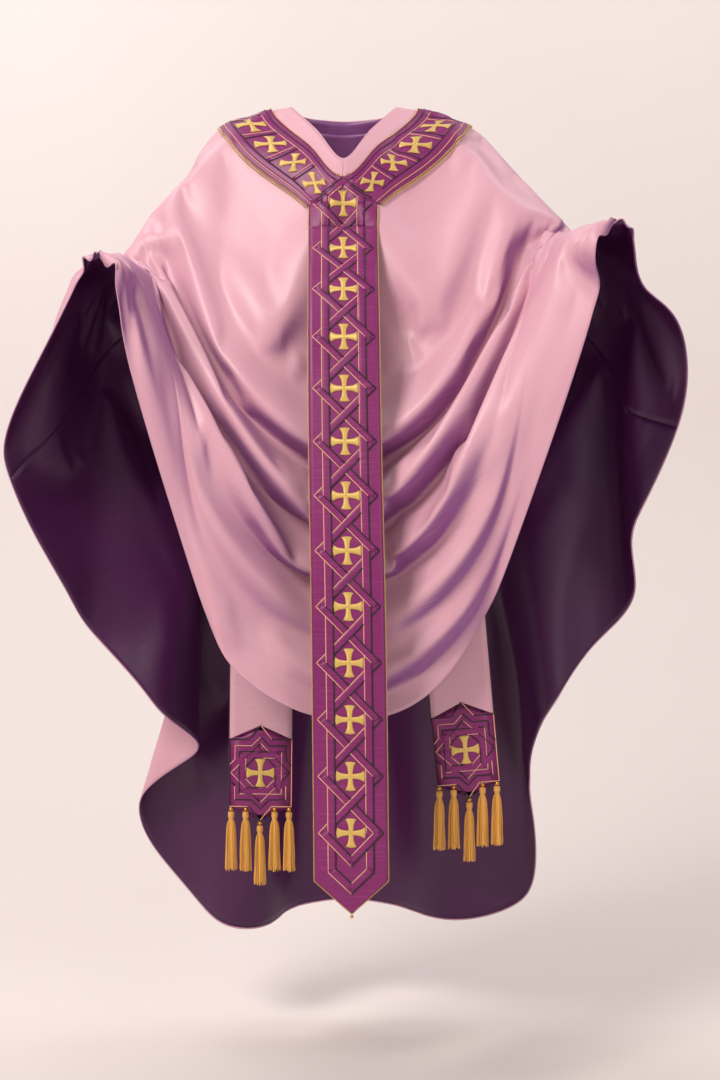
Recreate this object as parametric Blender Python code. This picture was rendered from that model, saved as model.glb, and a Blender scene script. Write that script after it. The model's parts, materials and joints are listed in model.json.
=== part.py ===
# A lined chasuble with its matching stole, held as a wearer with raised hands holds it.
# Metres, +Z up. The origin is where the neck rests on the shoulders. The front faces -Y,
# and left and right are the wearer's: left is +X.

import bisect
import math

import bmesh
import bpy
from mathutils import Vector
from mathutils.geometry import delaunay_2d_cdt

# The cloth is a ring of rays from the neck edge to the hem. A ray's angle is 0 at the front
# centre, SEAM at the shoulder seam and BACK at the back centre. Negative angles are the
# wearer's right.
HOLD = 43  # the ray over the arm, whose hem rests on the wrist
SEAM = 70
BACK = 140

# Heights of the layers above the inner face of the silk, along its normal.
SILK = (0.0, 0.0016)
LINING = (-0.0024, -0.0012)
YOKE = (0.0042, 0.0052)
YOKE_STITCHING = (0.0087, 0.0093)
SEAM_GAP = 0.0003
FACING_SHARE = 0.030  # the neck facing's share of the way from the neck to the hem
LINING_START = FACING_SHARE + 0.0012
PANEL_COLUMNS, PANEL_ROWS = 12, 14
RING_COLUMNS = 40

# The yoke's V. Its edges are at true lengths from the neck edge. An arm runs from the centre
# line, and its outer edge from the corner that meets the pillar, to the shoulder seam.
YOKE_EDGES = (0.036, 0.129)
YOKE_WIDTH = YOKE_EDGES[1] - YOKE_EDGES[0]
CENTRE = {"front": 0.0, "back": BACK}
CORNER = {"front": 15.0, "back": 121.0}
BAY = 0.060  # from cross to cross
BAYS = {"front": 4, "back": 2}
FIRST_BAR = {"front": 0.001, "back": 0.018}  # from the start of the arm
ARM_STRAPS = (0.0165, 0.0765)  # centre lines of the two straps, from the inner edge
ARM_STRAP_HALF, BAR_HALF = 0.007, 0.003
ARM_END = 0.004  # the stitching stops this far before the seam
NOTCH_CROSS_HALF = 0.0205
NOTCH_RUNS = (0.012, 0.024, 0.036)  # along the inner edge, above the pillar's top
EDGE_STEPS, YOKE_COLUMNS, YOKE_ROWS = 24, 20, 5

# The pillar hangs from the yoke. Lengths run down it, on the front and back alike, and the
# neck edge is at a different length on each.
PILLAR_HALF = 0.054
PITCH = 0.0833  # from cross to cross
FIRST_CROSS = 0.245
NECK_LENGTH = {"front": 0.165, "back": 0.130}
PILLAR_TOP = FIRST_CROSS + PITCH / 2
LAST_CROSS = FIRST_CROSS + 12 * PITCH
PILLAR_CORNER = LAST_CROSS + 0.071
PILLAR_TIP = LAST_CROSS + 0.118
STRAP = (0.0225, 0.0340)  # the strap beside the crosses, from the pillar's centre line
CROSS_HALF = 0.0235
CROSS_WAIST, CROSS_END = 0.0035, 0.0085  # half widths of a cross's arm at its root and end
PILLAR_LAYERS = {
    "backing": (0.0, 0.0006),
    "interlining": (0.0009, 0.0019),
    "face": (0.0022, 0.0028),
    "stitching": (0.0033, 0.0039),
}
PILLAR_ROUTES = {  # points down the centre lines after the start on the yoke
    "front": ((0.002, -0.249, -0.42), (0.005, -0.292, -0.62), (0.009, -0.318, -0.80),
              (0.012, -0.333, -1.0), (0.015, -0.338, -1.29)),
    "back": ((0.0, 0.200, -0.40), (0.0, 0.224, -0.60), (0.0, 0.238, -0.80),
             (0.0, 0.246, -1.02), (0.0, 0.250, -1.27)),
}
PILLAR_CLEARANCE = 0.0075  # in front of the silk, where the pillar starts
PIPING_RADIUS = 0.0009
TIP_BEAD_RADIUS = 0.0025

# The stole's hanging ends: (top, bottom edge) of each centre line.
STOLE_HALF = 0.0495
STOLE_ENDS = {
    "left": (Vector((0.142, -0.157, -0.452)), Vector((0.199, -0.160, -1.118))),
    "right": (Vector((-0.125, -0.157, -0.452)), Vector((-0.132, -0.160, -1.155))),
}
STOLE_LAYERS = {
    "lining": (0.0, 0.0006),
    "interlining": (0.0009, 0.0019),
    "silk": (0.0022, 0.0028),
}
STAR_HEIGHT, STAR_POINT, STAR_NOTCH = 0.107, 0.022, 0.018
STAR_LAYER = (0.0031, 0.0037)
STAR_CROSS_LAYER = (0.0040, 0.0046)
TASSEL_PLACES = (-0.046, -0.023, 0.0, 0.023, 0.046)
BEAD_RADIUS, BEAD_DROP = 0.0035, 0.0043
TASSEL_PROFILE = (  # (radius, depth below the edge), top to bottom
    (0.0025, 0.0082), (0.0050, 0.0110), (0.0048, 0.0190), (0.0040, 0.0215),
    (0.0068, 0.0330), (0.0082, 0.0620), (0.0092, 0.1020),
)

ROSE = (0.80, 0.52, 0.57)
PURPLE = (0.26, 0.04, 0.26)
DARK_PURPLE = (0.11, 0.02, 0.12)
GOLD = (0.75, 0.52, 0.12)
CANVAS = (0.78, 0.74, 0.66)


def clear_scene():
    for thing in list(bpy.data.objects):
        bpy.data.objects.remove(thing)


def make_material(name, colour, roughness, metallic=0.0):
    material = bpy.data.materials.new(name)
    material.use_nodes = True
    shader = material.node_tree.nodes["Principled BSDF"]
    shader.inputs["Base Color"].default_value = (*colour, 1.0)
    shader.inputs["Roughness"].default_value = roughness
    shader.inputs["Metallic"].default_value = metallic
    return material


def add_object(name, mesh, material, joint):
    """Turns a bmesh in world space into an object whose origin is its body's joint."""
    bmesh.ops.translate(mesh, verts=mesh.verts, vec=-joint)
    bmesh.ops.recalc_face_normals(mesh, faces=mesh.faces)
    data = bpy.data.meshes.new(name)
    mesh.to_mesh(data)
    mesh.free()
    data.shade_smooth()
    data.set_sharp_from_angle(angle=math.radians(35))
    data.materials.append(material)
    thing = bpy.data.objects.new(name, data)
    thing.location = joint
    bpy.context.scene.collection.objects.link(thing)
    return thing


def curve_through(knots, points, at):
    """The point at this knot value of a smooth curve through the points."""
    last = len(knots) - 1
    right = min(max(bisect.bisect_right(knots, at), 1), last)
    left = right - 1

    def slope(i):
        before, after = max(i - 1, 0), min(i + 1, last)
        return (points[after] - points[before]) / (knots[after] - knots[before])

    span = knots[right] - knots[left]
    s = (at - knots[left]) / span
    return (
        (2 * s**3 - 3 * s**2 + 1) * points[left]
        + (s**3 - 2 * s**2 + s) * span * slope(left)
        + (3 * s**2 - 2 * s**3) * points[right]
        + (s**3 - s**2) * span * slope(right)
    )


def rays_of(side, wrist, elbow, hems):
    """Six points from the neck edge to the hem on each ray of one half of the cloth."""
    x, y, z = elbow
    over_arm = [(0.088, -0.01, 0.0), (0.21, -0.02, -0.035)]
    over_arm += [((0.21 + x) / 2, -0.05, (z - 0.035) / 2), elbow]
    over_arm += [((x + wrist[0]) / 2, (y + wrist[1]) / 2, (z + wrist[2]) / 2 + 0.005), wrist]
    rays = {
        22: [(0.045, -0.075, -0.055), (0.12, -0.17, -0.24), (0.175, -0.23, -0.42),
             (0.215, -0.28, -0.58), (0.238, -0.310, -0.73), (0.232, -0.32, -0.87)],
        HOLD: over_arm,
        65: [(0.083, 0.025, 0.0), (0.19, 0.045, -0.05), (0.30, 0.05, -0.19),
             (0.42, 0.0, -0.34), (0.49, -0.07, -0.46), hems[65]],
        85: [(0.068, 0.05, 0.0), (0.16, 0.10, -0.10), (0.27, 0.12, -0.26),
             (0.36, 0.10, -0.45), (0.37, 0.03, -0.64), hems[85]],
        97: [(0.055, 0.06, 0.0), (0.13, 0.125, -0.13), (0.22, 0.155, -0.32),
             (0.29, 0.15, -0.54), (0.28, 0.08, -0.77), hems[97]],
        110: [(0.038, 0.066, 0.0), (0.095, 0.14, -0.17), (0.16, 0.175, -0.40),
              (0.23, 0.19, -0.66), (0.33, 0.17, -0.92), hems[110]],
        126: [(0.02, 0.072, 0.0), (0.05, 0.148, -0.20), (0.085, 0.187, -0.46),
              (0.14, 0.20, -0.74), (0.23, 0.178, -1.05), hems[126]],
    }
    return {side * a: [Vector((side * x, y, z)) for x, y, z in ray] for a, ray in rays.items()}


LEFT_RAYS = rays_of(
    1, (0.40, -0.33, -0.265), (0.378, -0.08, -0.24),
    {65: (0.555, -0.13, -0.475), 85: (0.45, -0.05, -0.80), 97: (0.27, 0.02, -0.975),
     110: (0.362, 0.15, -1.15), 126: (0.330, 0.135, -1.38)},
)
RIGHT_RAYS = rays_of(
    -1, (0.355, -0.33, -0.315), (0.372, -0.08, -0.29),
    {65: (0.545, -0.13, -0.57), 85: (0.40, -0.05, -0.82), 97: (0.245, 0.0, -0.975),
     110: (0.432, 0.15, -1.15), 126: (0.288, 0.15, -1.39)},
)
CENTRE_RAYS = {
    0: [Vector((0, y, z)) for y, z in (
        (-0.125, -0.115), (-0.212, -0.33), (-0.262, -0.53),
        (-0.295, -0.72), (-0.315, -0.88), (-0.300, -1.03))],
    BACK: [Vector((0, y, z)) for y, z in (
        (0.075, 0.0), (0.155, -0.22), (0.195, -0.48), (0.21, -0.76), (0.21, -1.06), (0.20, -1.36))],
}
HALF_RING = {**LEFT_RAYS, **RIGHT_RAYS, **CENTRE_RAYS}
RING = {a + turn: ray for turn in (-2 * BACK, 0, 2 * BACK) for a, ray in HALF_RING.items()}
ANGLES = sorted(RING)
STEPS_DOWN = [i / 5 for i in range(6)]


def cloth_point(angle, down):
    """The silk's inner face; down runs from 0 at the neck edge to 1 at the hem."""
    first = bisect.bisect_right(ANGLES, angle) - 2
    nearest = ANGLES[first : first + 4]
    rays = [curve_through(STEPS_DOWN, RING[a], down) for a in nearest]
    return curve_through(nearest, rays, angle)


def cloth_spot(angle, down):
    """A point of the silk's inner face and its outward normal."""
    high, low = max(down - 0.01, 0.0), min(down + 0.01, 1.0)
    along = cloth_point(angle, low) - cloth_point(angle, high)
    around = cloth_point(angle + 1, down) - cloth_point(angle - 1, down)
    return cloth_point(angle, down), along.cross(around).normalized()


def down_at(angle, length):
    """How far down its ray the cloth reaches at this true length from the neck edge."""
    down, here = 0.0, cloth_point(angle, 0.0)
    while True:
        ahead = cloth_point(angle, down + 0.01)
        step = (ahead - here).length
        if step >= length:
            return down + 0.01 * length / step
        down, here, length = down + 0.01, ahead, length - step


def under_v(x, along, face):
    """(angle, down) of the cloth at this x, level with this length of the centre line."""
    angle = math.copysign(CENTRE[face], x)
    down = down_at(angle, along - NECK_LENGTH[face])
    height = cloth_point(angle, down).z
    for _ in range(8):  # Newton's method on x and z
        here = cloth_point(angle, down)
        around = (cloth_point(angle + 0.5, down) - here) / 0.5
        below = (cloth_point(angle, down + 0.002) - here) / 0.002
        off_x, off_z = x - here.x, height - here.z
        spread = around.x * below.z - below.x * around.z
        angle += (off_x * below.z - below.x * off_z) / spread
        down += (around.x * off_z - off_x * around.z) / spread
    return angle, down


def thick_sheet(name, spots, heights, material, joint=Vector(), closed=False):
    """A sheet between two heights over columns of (point, normal), closed round if asked."""
    mesh = bmesh.new()
    low, high = (
        [[mesh.verts.new(point + height * normal) for point, normal in column] for column in spots]
        for height in heights
    )
    columns, rows = len(spots), len(spots[0])
    for i in range(columns if closed else columns - 1):
        k = (i + 1) % columns
        for j in range(rows - 1):
            # Both skins are cut along the same diagonal, so that layers stay parallel.
            for skin in (high, low):
                mesh.faces.new((skin[i][j], skin[i][j + 1], skin[k][j + 1]))
                mesh.faces.new((skin[i][j], skin[k][j + 1], skin[k][j]))
        for j in (0, rows - 1):
            mesh.faces.new((low[i][j], low[k][j], high[k][j], high[i][j]))
    if not closed:
        for i in (0, columns - 1):
            for j in range(rows - 1):
                mesh.faces.new((low[i][j], low[i][j + 1], high[i][j + 1], high[i][j]))
    return add_object(name, mesh, material, joint)


def flat_ornament(name, outlines, place, heights, material, joint=Vector()):
    """One body from outlines that overlap each other, laid on a surface."""
    corners, loops = [], []
    for outline in outlines:
        loops.append(range(len(corners), len(corners) + len(outline)))
        corners += [Vector(corner) for corner in outline]
    loops = [list(loop) for loop in loops]
    points, _, triangles, _, _, sources = delaunay_2d_cdt(corners, [], loops, 1, 1e-7)
    faces = [triangle for triangle, source in zip(triangles, sources) if source]
    spots = [place(*point) for point in points]
    mesh = bmesh.new()
    low, high = ([mesh.verts.new(p + height * n) for p, n in spots] for height in heights)
    edges = {}
    for face in faces:
        mesh.faces.new([high[i] for i in face])
        mesh.faces.new([low[i] for i in reversed(face)])
        for edge in zip(face, face[1:] + face[:1]):
            edges[frozenset(edge)] = None if frozenset(edge) in edges else edge
    for edge in filter(None, edges.values()):
        a, b = edge
        mesh.faces.new((high[b], high[a], low[a], low[b]))
    unused = [vert for vert in mesh.verts if not vert.link_faces]
    bmesh.ops.delete(mesh, geom=unused, context="VERTS")
    return add_object(name, mesh, material, joint)


def cross_outline(x, y, half=CROSS_HALF, lean=0.0):
    """A cross with flared arms, counterclockwise."""
    arms = []
    for turn in range(4):
        dx, dy = math.cos(lean + turn * math.pi / 2), math.sin(lean + turn * math.pi / 2)
        for along, wide in ((half, -CROSS_END), (half, CROSS_END), (CROSS_WAIST, CROSS_WAIST)):
            arms.append((x + along * dx - wide * dy, y + along * dy + wide * dx))
    return arms


def strip_outline(start, end, half, longest=0.02):
    """A straight strip with a corner every so often along its sides."""
    start, end = Vector(start), Vector(end)
    count = max(1, math.ceil((end - start).length / longest))
    side = (end - start).normalized().orthogonal() * half
    middle = [start.lerp(end, i / count) for i in range(count + 1)]
    outline = [tuple(p - side) for p in middle] + [tuple(p + side) for p in reversed(middle)]
    area = sum(a[0] * b[1] - a[1] * b[0] for a, b in zip(outline, outline[1:] + outline[:1]))
    return outline if area > 0 else outline[::-1]


def ball(name, centre, radius, material, joint):
    mesh = bmesh.new()
    bmesh.ops.create_uvsphere(mesh, u_segments=8, v_segments=6, radius=radius)
    bmesh.ops.translate(mesh, verts=mesh.verts, vec=centre)
    return add_object(name, mesh, material, joint)


def panel_columns(first, last, rows):
    """Columns of spots between two seams, each set back from its seam by the gap."""
    angles = [first + (last - first) * i / PANEL_COLUMNS for i in range(PANEL_COLUMNS + 1)]
    columns = [[cloth_spot(angle, down) for down in rows] for angle in angles]
    for edge, inner in ((0, 1), (-1, -2)):
        columns[edge] = [
            (point + SEAM_GAP * (near - point).normalized(), normal)
            for (point, normal), (near, _) in zip(columns[edge], columns[inner])
        ]
    return columns


def make_cloth(silk, lining):
    halves = {
        "front_left": (0, SEAM), "back_left": (SEAM, BACK),
        "back_right": (-BACK, -SEAM), "front_right": (-SEAM, 0),
    }
    shares = [(j / PANEL_ROWS) ** 1.2 for j in range(PANEL_ROWS + 1)]
    below = [FACING_SHARE + (1 - FACING_SHARE) * share for share in shares]
    lining_rows = [LINING_START] + below[1:]
    for half, (first, last) in halves.items():
        thick_sheet(f"{half}_silk", panel_columns(first, last, [0.0] + below), SILK, silk)
        thick_sheet(f"{half}_lining", panel_columns(first, last, lining_rows), LINING, lining)
    ring = [
        [cloth_spot(-BACK + i * 2 * BACK / RING_COLUMNS, down) for down in (0, FACING_SHARE)]
        for i in range(RING_COLUMNS)
    ]
    thick_sheet("neck_facing", ring, LINING, silk, closed=True)


def between(a, b, share):
    return tuple(p + (q - p) * share for p, q in zip(a, b))


def edge_of_arm(first, side, length):
    """The angles evenly along an arm's edge, from this one to the seam, and its true length."""
    steps = range(EDGE_STEPS + 1)
    angles = [side * (first + (SEAM - first) * i / EDGE_STEPS) for i in steps]
    points = [cloth_point(angle, down_at(angle, length)) for angle in angles]
    runs = [0.0]
    for a, b in zip(points, points[1:]):
        runs.append(runs[-1] + (b - a).length)
    even = []
    for i in steps:
        run = runs[-1] * i / EDGE_STEPS
        k = min(max(bisect.bisect_right(runs, run), 1), EDGE_STEPS)
        share = (run - runs[k - 1]) / (runs[k] - runs[k - 1])
        even.append(angles[k - 1] + (angles[k] - angles[k - 1]) * share)
    return even, runs[-1]


def arm_of(face, side):
    """An arm's length, and a function from a place along and across it to (angle, down)."""
    inner, inner_length = edge_of_arm(CENTRE[face], side, YOKE_EDGES[0])
    outer, outer_length = edge_of_arm(CORNER[face], side, YOKE_EDGES[1])
    length = (inner_length + outer_length) / 2

    def place(along, across):
        spot = min(max(along / length, 0.0), 1.0) * EDGE_STEPS
        i = min(int(spot), EDGE_STEPS - 1)
        ends = [edge[i] + (edge[i + 1] - edge[i]) * (spot - i) for edge in (inner, outer)]
        angle = ends[0] + (ends[1] - ends[0]) * across / YOKE_WIDTH
        return angle, down_at(angle, YOKE_EDGES[0] + across)

    return length, place


def yoke_edges(face, side):
    """(inner, outer) edge points as (angle, down), from the centre line to the shoulder."""
    length, place = arm_of(face, side)
    notch = NECK_LENGTH[face] + YOKE_EDGES[0]
    edges = [
        (under_v(side * SEAM_GAP, notch, face), under_v(side * SEAM_GAP, PILLAR_TOP, face)),
        (place(NOTCH_RUNS[0], 0.0), under_v(side * PILLAR_HALF / 2, PILLAR_TOP, face)),
        (place(NOTCH_RUNS[1], 0.0), under_v(side * PILLAR_HALF, PILLAR_TOP, face)),
        (place(NOTCH_RUNS[2], 0.0), place(0.004, YOKE_WIDTH)),
    ]
    for i in range(1, YOKE_COLUMNS + 1):
        share = (i / YOKE_COLUMNS) ** 0.9
        inner = NOTCH_RUNS[2] + (length - NOTCH_RUNS[2]) * share
        edges.append((place(inner, 0.0), place(length * share, YOKE_WIDTH)))
    return edges


def make_yoke(purple, gold):
    for half, side in (("left", 1), ("right", -1)):
        edges = yoke_edges("front", side) + yoke_edges("back", side)[-2::-1]
        columns = [
            [cloth_spot(*between(inner, outer, i / YOKE_ROWS)) for i in range(YOKE_ROWS + 1)]
            for inner, outer in edges
        ]
        thick_sheet(f"yoke_band_{half}", columns, YOKE, purple)
        for face in CENTRE:
            make_arm_stitching(face, half, side, gold)
    for face in CENTRE:
        flat_ornament(
            f"{face}_yoke_cross", [cross_outline(0, FIRST_CROSS, NOTCH_CROSS_HALF)],
            lambda x, y, face=face: cloth_spot(*under_v(x, y, face)), YOKE_STITCHING, gold,
        )


def make_arm_stitching(face, half, side, gold):
    """An arm's two straps, the bars between them and the crosses in the bays, as one body."""
    length, place = arm_of(face, side)
    end = length - ARM_END
    bars = [FIRST_BAR[face] + BAY * i for i in range(BAYS[face] + 1)]
    outlines = [strip_outline((bars[0], y), (end, y), ARM_STRAP_HALF) for y in ARM_STRAPS]
    outlines += [strip_outline((x, ARM_STRAPS[0]), (x, ARM_STRAPS[1]), BAR_HALF) for x in bars]
    middle = sum(ARM_STRAPS) / 2
    for x in (bar + BAY / 2 for bar in bars[:-1]):
        here, along, across = (
            cloth_point(*place(*spot)).z
            for spot in ((x, middle), (x + 0.005, middle), (x, middle + 0.005))
        )
        upright = math.atan2(across - here, along - here)
        outlines.append(cross_outline(x, middle, CROSS_HALF, upright))
    flat_ornament(
        f"{face}_yoke_stitching_{half}", outlines,
        lambda x, y: cloth_spot(*place(x, y)), YOKE_STITCHING, gold,
    )


def pillar_route(face):
    """Points down the pillar's centre line, starting on the yoke, and their knot values."""
    angle = CENTRE[face]
    top, normal = cloth_spot(angle, down_at(angle, PILLAR_TOP - NECK_LENGTH[face]))
    start = top + PILLAR_CLEARANCE * normal
    points = [Vector((0, start.y, start.z))] + [Vector(spot) for spot in PILLAR_ROUTES[face]]
    knots = [PILLAR_TOP]
    for a, b in zip(points, points[1:]):
        knots.append(knots[-1] + (b - a).length)
    return knots, points


def make_pillar(face, materials):
    knots, points = pillar_route(face)
    joint = points[0]

    def place(x, along):
        here = curve_through(knots, points, along)
        ahead = curve_through(knots, points, along + 0.001) - here
        normal = ahead.cross(Vector((1 if face == "front" else -1, 0, 0))).normalized()
        return here + Vector((x, 0, 0)), normal

    top = PILLAR_TOP + SEAM_GAP
    rows = [top + (PILLAR_CORNER - top) * i / 12 for i in range(13)]
    for layer in ("backing", "interlining", "face"):
        sides = (-PILLAR_HALF, 0.0, PILLAR_HALF)
        columns = [[place(x, along) for along in rows] for x in sides]
        for column, x in zip(columns, (-0.0004, 0.0, 0.0004)):
            column.append(place(x, PILLAR_TIP))
        thick_sheet(
            f"{face}_pillar_{layer}", columns, PILLAR_LAYERS[layer], materials[layer], joint
        )

    strap_end = LAST_CROSS + 0.058
    middle, half = sum(STRAP) / 2, (STRAP[1] - STRAP[0]) / 2
    outlines = [cross_outline(0, FIRST_CROSS + PITCH * i) for i in range(1, 13)]
    for side in (-1, 1):
        outlines.append(
            strip_outline((side * middle, top + 0.001), (side * middle, strap_end), half, 0.045)
        )
        outer, inner = side * STRAP[1], side * STRAP[0]
        point = [
            (inner, strap_end - 0.001), (outer, strap_end - 0.001), (outer, strap_end),
            (-side * 0.001, strap_end + 0.032), (-side * 0.001, strap_end + 0.0205),
            (inner, strap_end),
        ]
        outlines.append(point[::side])
    flat_ornament(
        f"{face}_pillar_stitching", outlines, place,
        PILLAR_LAYERS["stitching"], materials["stitching"], joint,
    )
    make_pillar_piping(f"{face}_pillar_piping", place, joint, materials["piping"])
    tip, _ = place(0, PILLAR_TIP)
    down = place(0, PILLAR_TIP + 0.01)[0] - tip
    drop = TIP_BEAD_RADIUS + 3 * PIPING_RADIUS + 2 * SEAM_GAP
    centre = tip + drop * down.normalized()
    ball(f"{face}_pillar_bead", centre, TIP_BEAD_RADIUS, materials["bead"], joint)


def make_pillar_piping(name, place, joint, material):
    """A cord down one edge, round the pointed tip and up the other."""
    edge = PILLAR_HALF + SEAM_GAP + PIPING_RADIUS
    tip = PILLAR_TIP + 1.5 * PIPING_RADIUS + SEAM_GAP
    top = PILLAR_TOP + SEAM_GAP
    corner = PILLAR_CORNER + 0.4 * PIPING_RADIUS
    side = [(edge, top + (corner - top) * i / 12) for i in range(13)]
    path = side + [(edge / 2, (corner + tip) / 2), (0.0004, tip)]
    path += [(-x, along) for x, along in reversed(path)]
    data = bpy.data.curves.new(name, "CURVE")
    data.dimensions = "3D"
    data.bevel_depth = PIPING_RADIUS
    data.bevel_resolution = 1
    data.use_fill_caps = True
    spline = data.splines.new("POLY")
    spline.points.add(len(path) - 1)
    height = sum(PILLAR_LAYERS["interlining"]) / 2
    for spot, (x, along) in zip(spline.points, path):
        point, normal = place(x, along)
        spot.co = (*(point + height * normal - joint), 1.0)
    data.materials.append(material)
    thing = bpy.data.objects.new(name, data)
    thing.location = joint
    bpy.context.scene.collection.objects.link(thing)


def make_stole_neck(silk):
    """The part that lies round the neck and down the chest, sewn up as one thick band."""
    half = [  # inner and outer edge, from the back of the neck to the chest
        ((0.0, 0.058, -0.028), (0.0, 0.088, -0.088)),
        ((0.022, 0.054, -0.028), (0.035, 0.084, -0.084)),
        ((0.048, 0.040, -0.029), (0.080, 0.070, -0.075)),
        ((0.064, 0.004, -0.034), (0.122, 0.020, -0.066)),
        ((0.068, -0.040, -0.058), (0.142, -0.022, -0.084)),
        ((0.066, -0.082, -0.130), (0.152, -0.055, -0.150)),
        ((0.072, -0.113, -0.215), (0.165, -0.085, -0.215)),
    ]
    strips = {}
    for name, side in (("left", 1), ("right", -1)):
        top, bottom = STOLE_ENDS[name]
        across = (bottom - top).cross(Vector((0, 1, 0))).normalized() * STOLE_HALF * side
        if across.x * side < 0:
            across = -across
        end = top + (top - bottom).normalized() * 2 * SEAM_GAP
        chest = [((top.x * side - 0.055, -0.142, -0.33), (top.x * side + 0.042, -0.128, -0.33))]
        rows = [[Vector((side * x, y, z)) for x, y, z in row] for row in half + chest]
        rows.append([end - across, end + across])
        strips[name] = rows
    rows = strips["right"][:0:-1] + strips["left"]
    count = len(rows) - 1
    knots = list(range(count + 1))
    columns = []
    for i in range(2 * count + 1):
        inner = curve_through(knots, [row[0] for row in rows], i / 2)
        outer = curve_through(knots, [row[1] for row in rows], i / 2)
        columns.append([inner, inner.lerp(outer, 0.5), outer])
    spots = []
    for i, column in enumerate(columns):
        before, after = columns[max(i - 1, 0)], columns[min(i + 1, len(columns) - 1)]
        normal = (column[2] - column[0]).cross(after[1] - before[1]).normalized()
        spots.append([(point, normal) for point in column])
    thick_sheet("stole_neck", spots, (STOLE_LAYERS["lining"][0], STOLE_LAYERS["silk"][1]), silk)


def make_stole_end(name, materials):
    top, bottom = STOLE_ENDS[name]
    down = (bottom - top).normalized()
    across = Vector((0, 1, 0)).cross(down).normalized()
    across = across if across.x > 0 else -across
    outward = across.cross(-down).normalized()
    outward = outward if outward.y < 0 else -outward
    length = (bottom - top).length

    def place(x, below):
        return top + below * down + x * across, outward

    for layer, heights in STOLE_LAYERS.items():
        columns = [[place(x, length * i / 4) for i in range(5)] for x in (-STOLE_HALF, STOLE_HALF)]
        thick_sheet(f"stole_{layer}_{name}", columns, heights, materials[layer], top)

    high, low, notch = length - STAR_HEIGHT, length, STAR_NOTCH
    star = [
        (-STOLE_HALF, high), (-notch, high), (0, high - STAR_POINT), (notch, high),
        (STOLE_HALF, high), (STOLE_HALF, low), (notch, low), (0, low + STAR_POINT),
        (-notch, low), (-STOLE_HALF, low),
    ]
    flat_ornament(f"star_panel_{name}", [star], place, STAR_LAYER, materials["star"], top)
    cross = cross_outline(0, (high + low) / 2, 0.0225)
    flat_ornament(f"star_cross_{name}", [cross], place, STAR_CROSS_LAYER, materials["gold"], top)
    depth = sum(STAR_LAYER) / 2
    for number, x in enumerate(TASSEL_PLACES, start=1):
        edge, normal = place(x, low if x else low + STAR_POINT)
        make_tassel(f"{name}_{number}", edge + depth * normal, materials)


def make_tassel(name, edge, materials):
    """A bead under the edge and the tassel under the bead; both turn about the edge."""
    centre = edge - Vector((0, 0, BEAD_DROP))
    ball(f"tassel_bead_{name}", centre, BEAD_RADIUS, materials["gold"], edge)
    mesh = bmesh.new()
    first, last = TASSEL_PROFILE[0], TASSEL_PROFILE[-1]
    outline = [(0.0, first[1]), *TASSEL_PROFILE, (0.0, last[1])]
    verts = [mesh.verts.new(edge + Vector((radius, 0, -depth))) for radius, depth in outline]
    edges = [mesh.edges.new(pair) for pair in zip(verts, verts[1:])]
    bmesh.ops.spin(
        mesh, geom=verts + edges, cent=edge, axis=(0, 0, 1),
        angle=math.tau, steps=8, use_merge=True,
    )
    bmesh.ops.remove_doubles(mesh, verts=mesh.verts, dist=0.00001)
    add_object(f"tassel_{name}", mesh, materials["tassel"], edge)


def main():
    clear_scene()
    silk = make_material("rose silk", ROSE, 0.45)
    lining = make_material("purple lining", DARK_PURPLE, 0.5)
    purple = make_material("purple silk", PURPLE, 0.45)
    canvas = make_material("canvas interlining", CANVAS, 0.9)
    thread = make_material("gold thread", GOLD, 0.4, 0.3)
    bead = make_material("gilt bead", GOLD, 0.25, 1.0)
    make_cloth(silk, lining)
    make_yoke(purple, thread)
    pillar = {
        "backing": lining, "interlining": canvas, "face": purple,
        "stitching": thread, "piping": thread, "bead": bead,
    }
    for face in CENTRE:
        make_pillar(face, pillar)
    make_stole_neck(silk)
    stole = {
        "silk": silk, "interlining": canvas, "lining": lining, "star": purple,
        "gold": thread, "tassel": thread,
    }
    for name in STOLE_ENDS:
        make_stole_end(name, stole)


main()
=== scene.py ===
# A lined chasuble of shot rose silk with its purple orphreys and matching stole, worn by nobody, hands raised.
import bisect
import json
import math
import random

import bmesh
import bpy
import numpy as np
from mathutils import Matrix, Vector
from mathutils.bvhtree import BVHTree


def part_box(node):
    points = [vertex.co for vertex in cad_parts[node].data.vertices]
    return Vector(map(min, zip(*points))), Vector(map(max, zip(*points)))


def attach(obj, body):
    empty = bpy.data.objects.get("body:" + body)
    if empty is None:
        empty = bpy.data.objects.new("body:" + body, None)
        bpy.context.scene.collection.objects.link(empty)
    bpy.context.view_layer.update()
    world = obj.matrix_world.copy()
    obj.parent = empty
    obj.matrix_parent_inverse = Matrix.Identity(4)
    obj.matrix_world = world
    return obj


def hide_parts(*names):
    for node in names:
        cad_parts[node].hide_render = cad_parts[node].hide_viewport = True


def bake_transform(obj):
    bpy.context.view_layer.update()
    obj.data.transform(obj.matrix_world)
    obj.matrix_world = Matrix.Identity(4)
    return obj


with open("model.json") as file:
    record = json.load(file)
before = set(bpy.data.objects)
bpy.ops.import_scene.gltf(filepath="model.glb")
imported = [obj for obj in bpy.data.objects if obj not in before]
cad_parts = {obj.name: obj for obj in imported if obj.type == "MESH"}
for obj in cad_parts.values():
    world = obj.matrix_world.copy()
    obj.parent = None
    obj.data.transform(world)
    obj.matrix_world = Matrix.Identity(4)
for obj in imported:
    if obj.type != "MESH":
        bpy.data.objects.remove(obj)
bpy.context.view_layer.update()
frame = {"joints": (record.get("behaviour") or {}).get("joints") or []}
scene = bpy.context.scene
scene.view_settings.view_transform = "Standard"


# Camera, light and room

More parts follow.
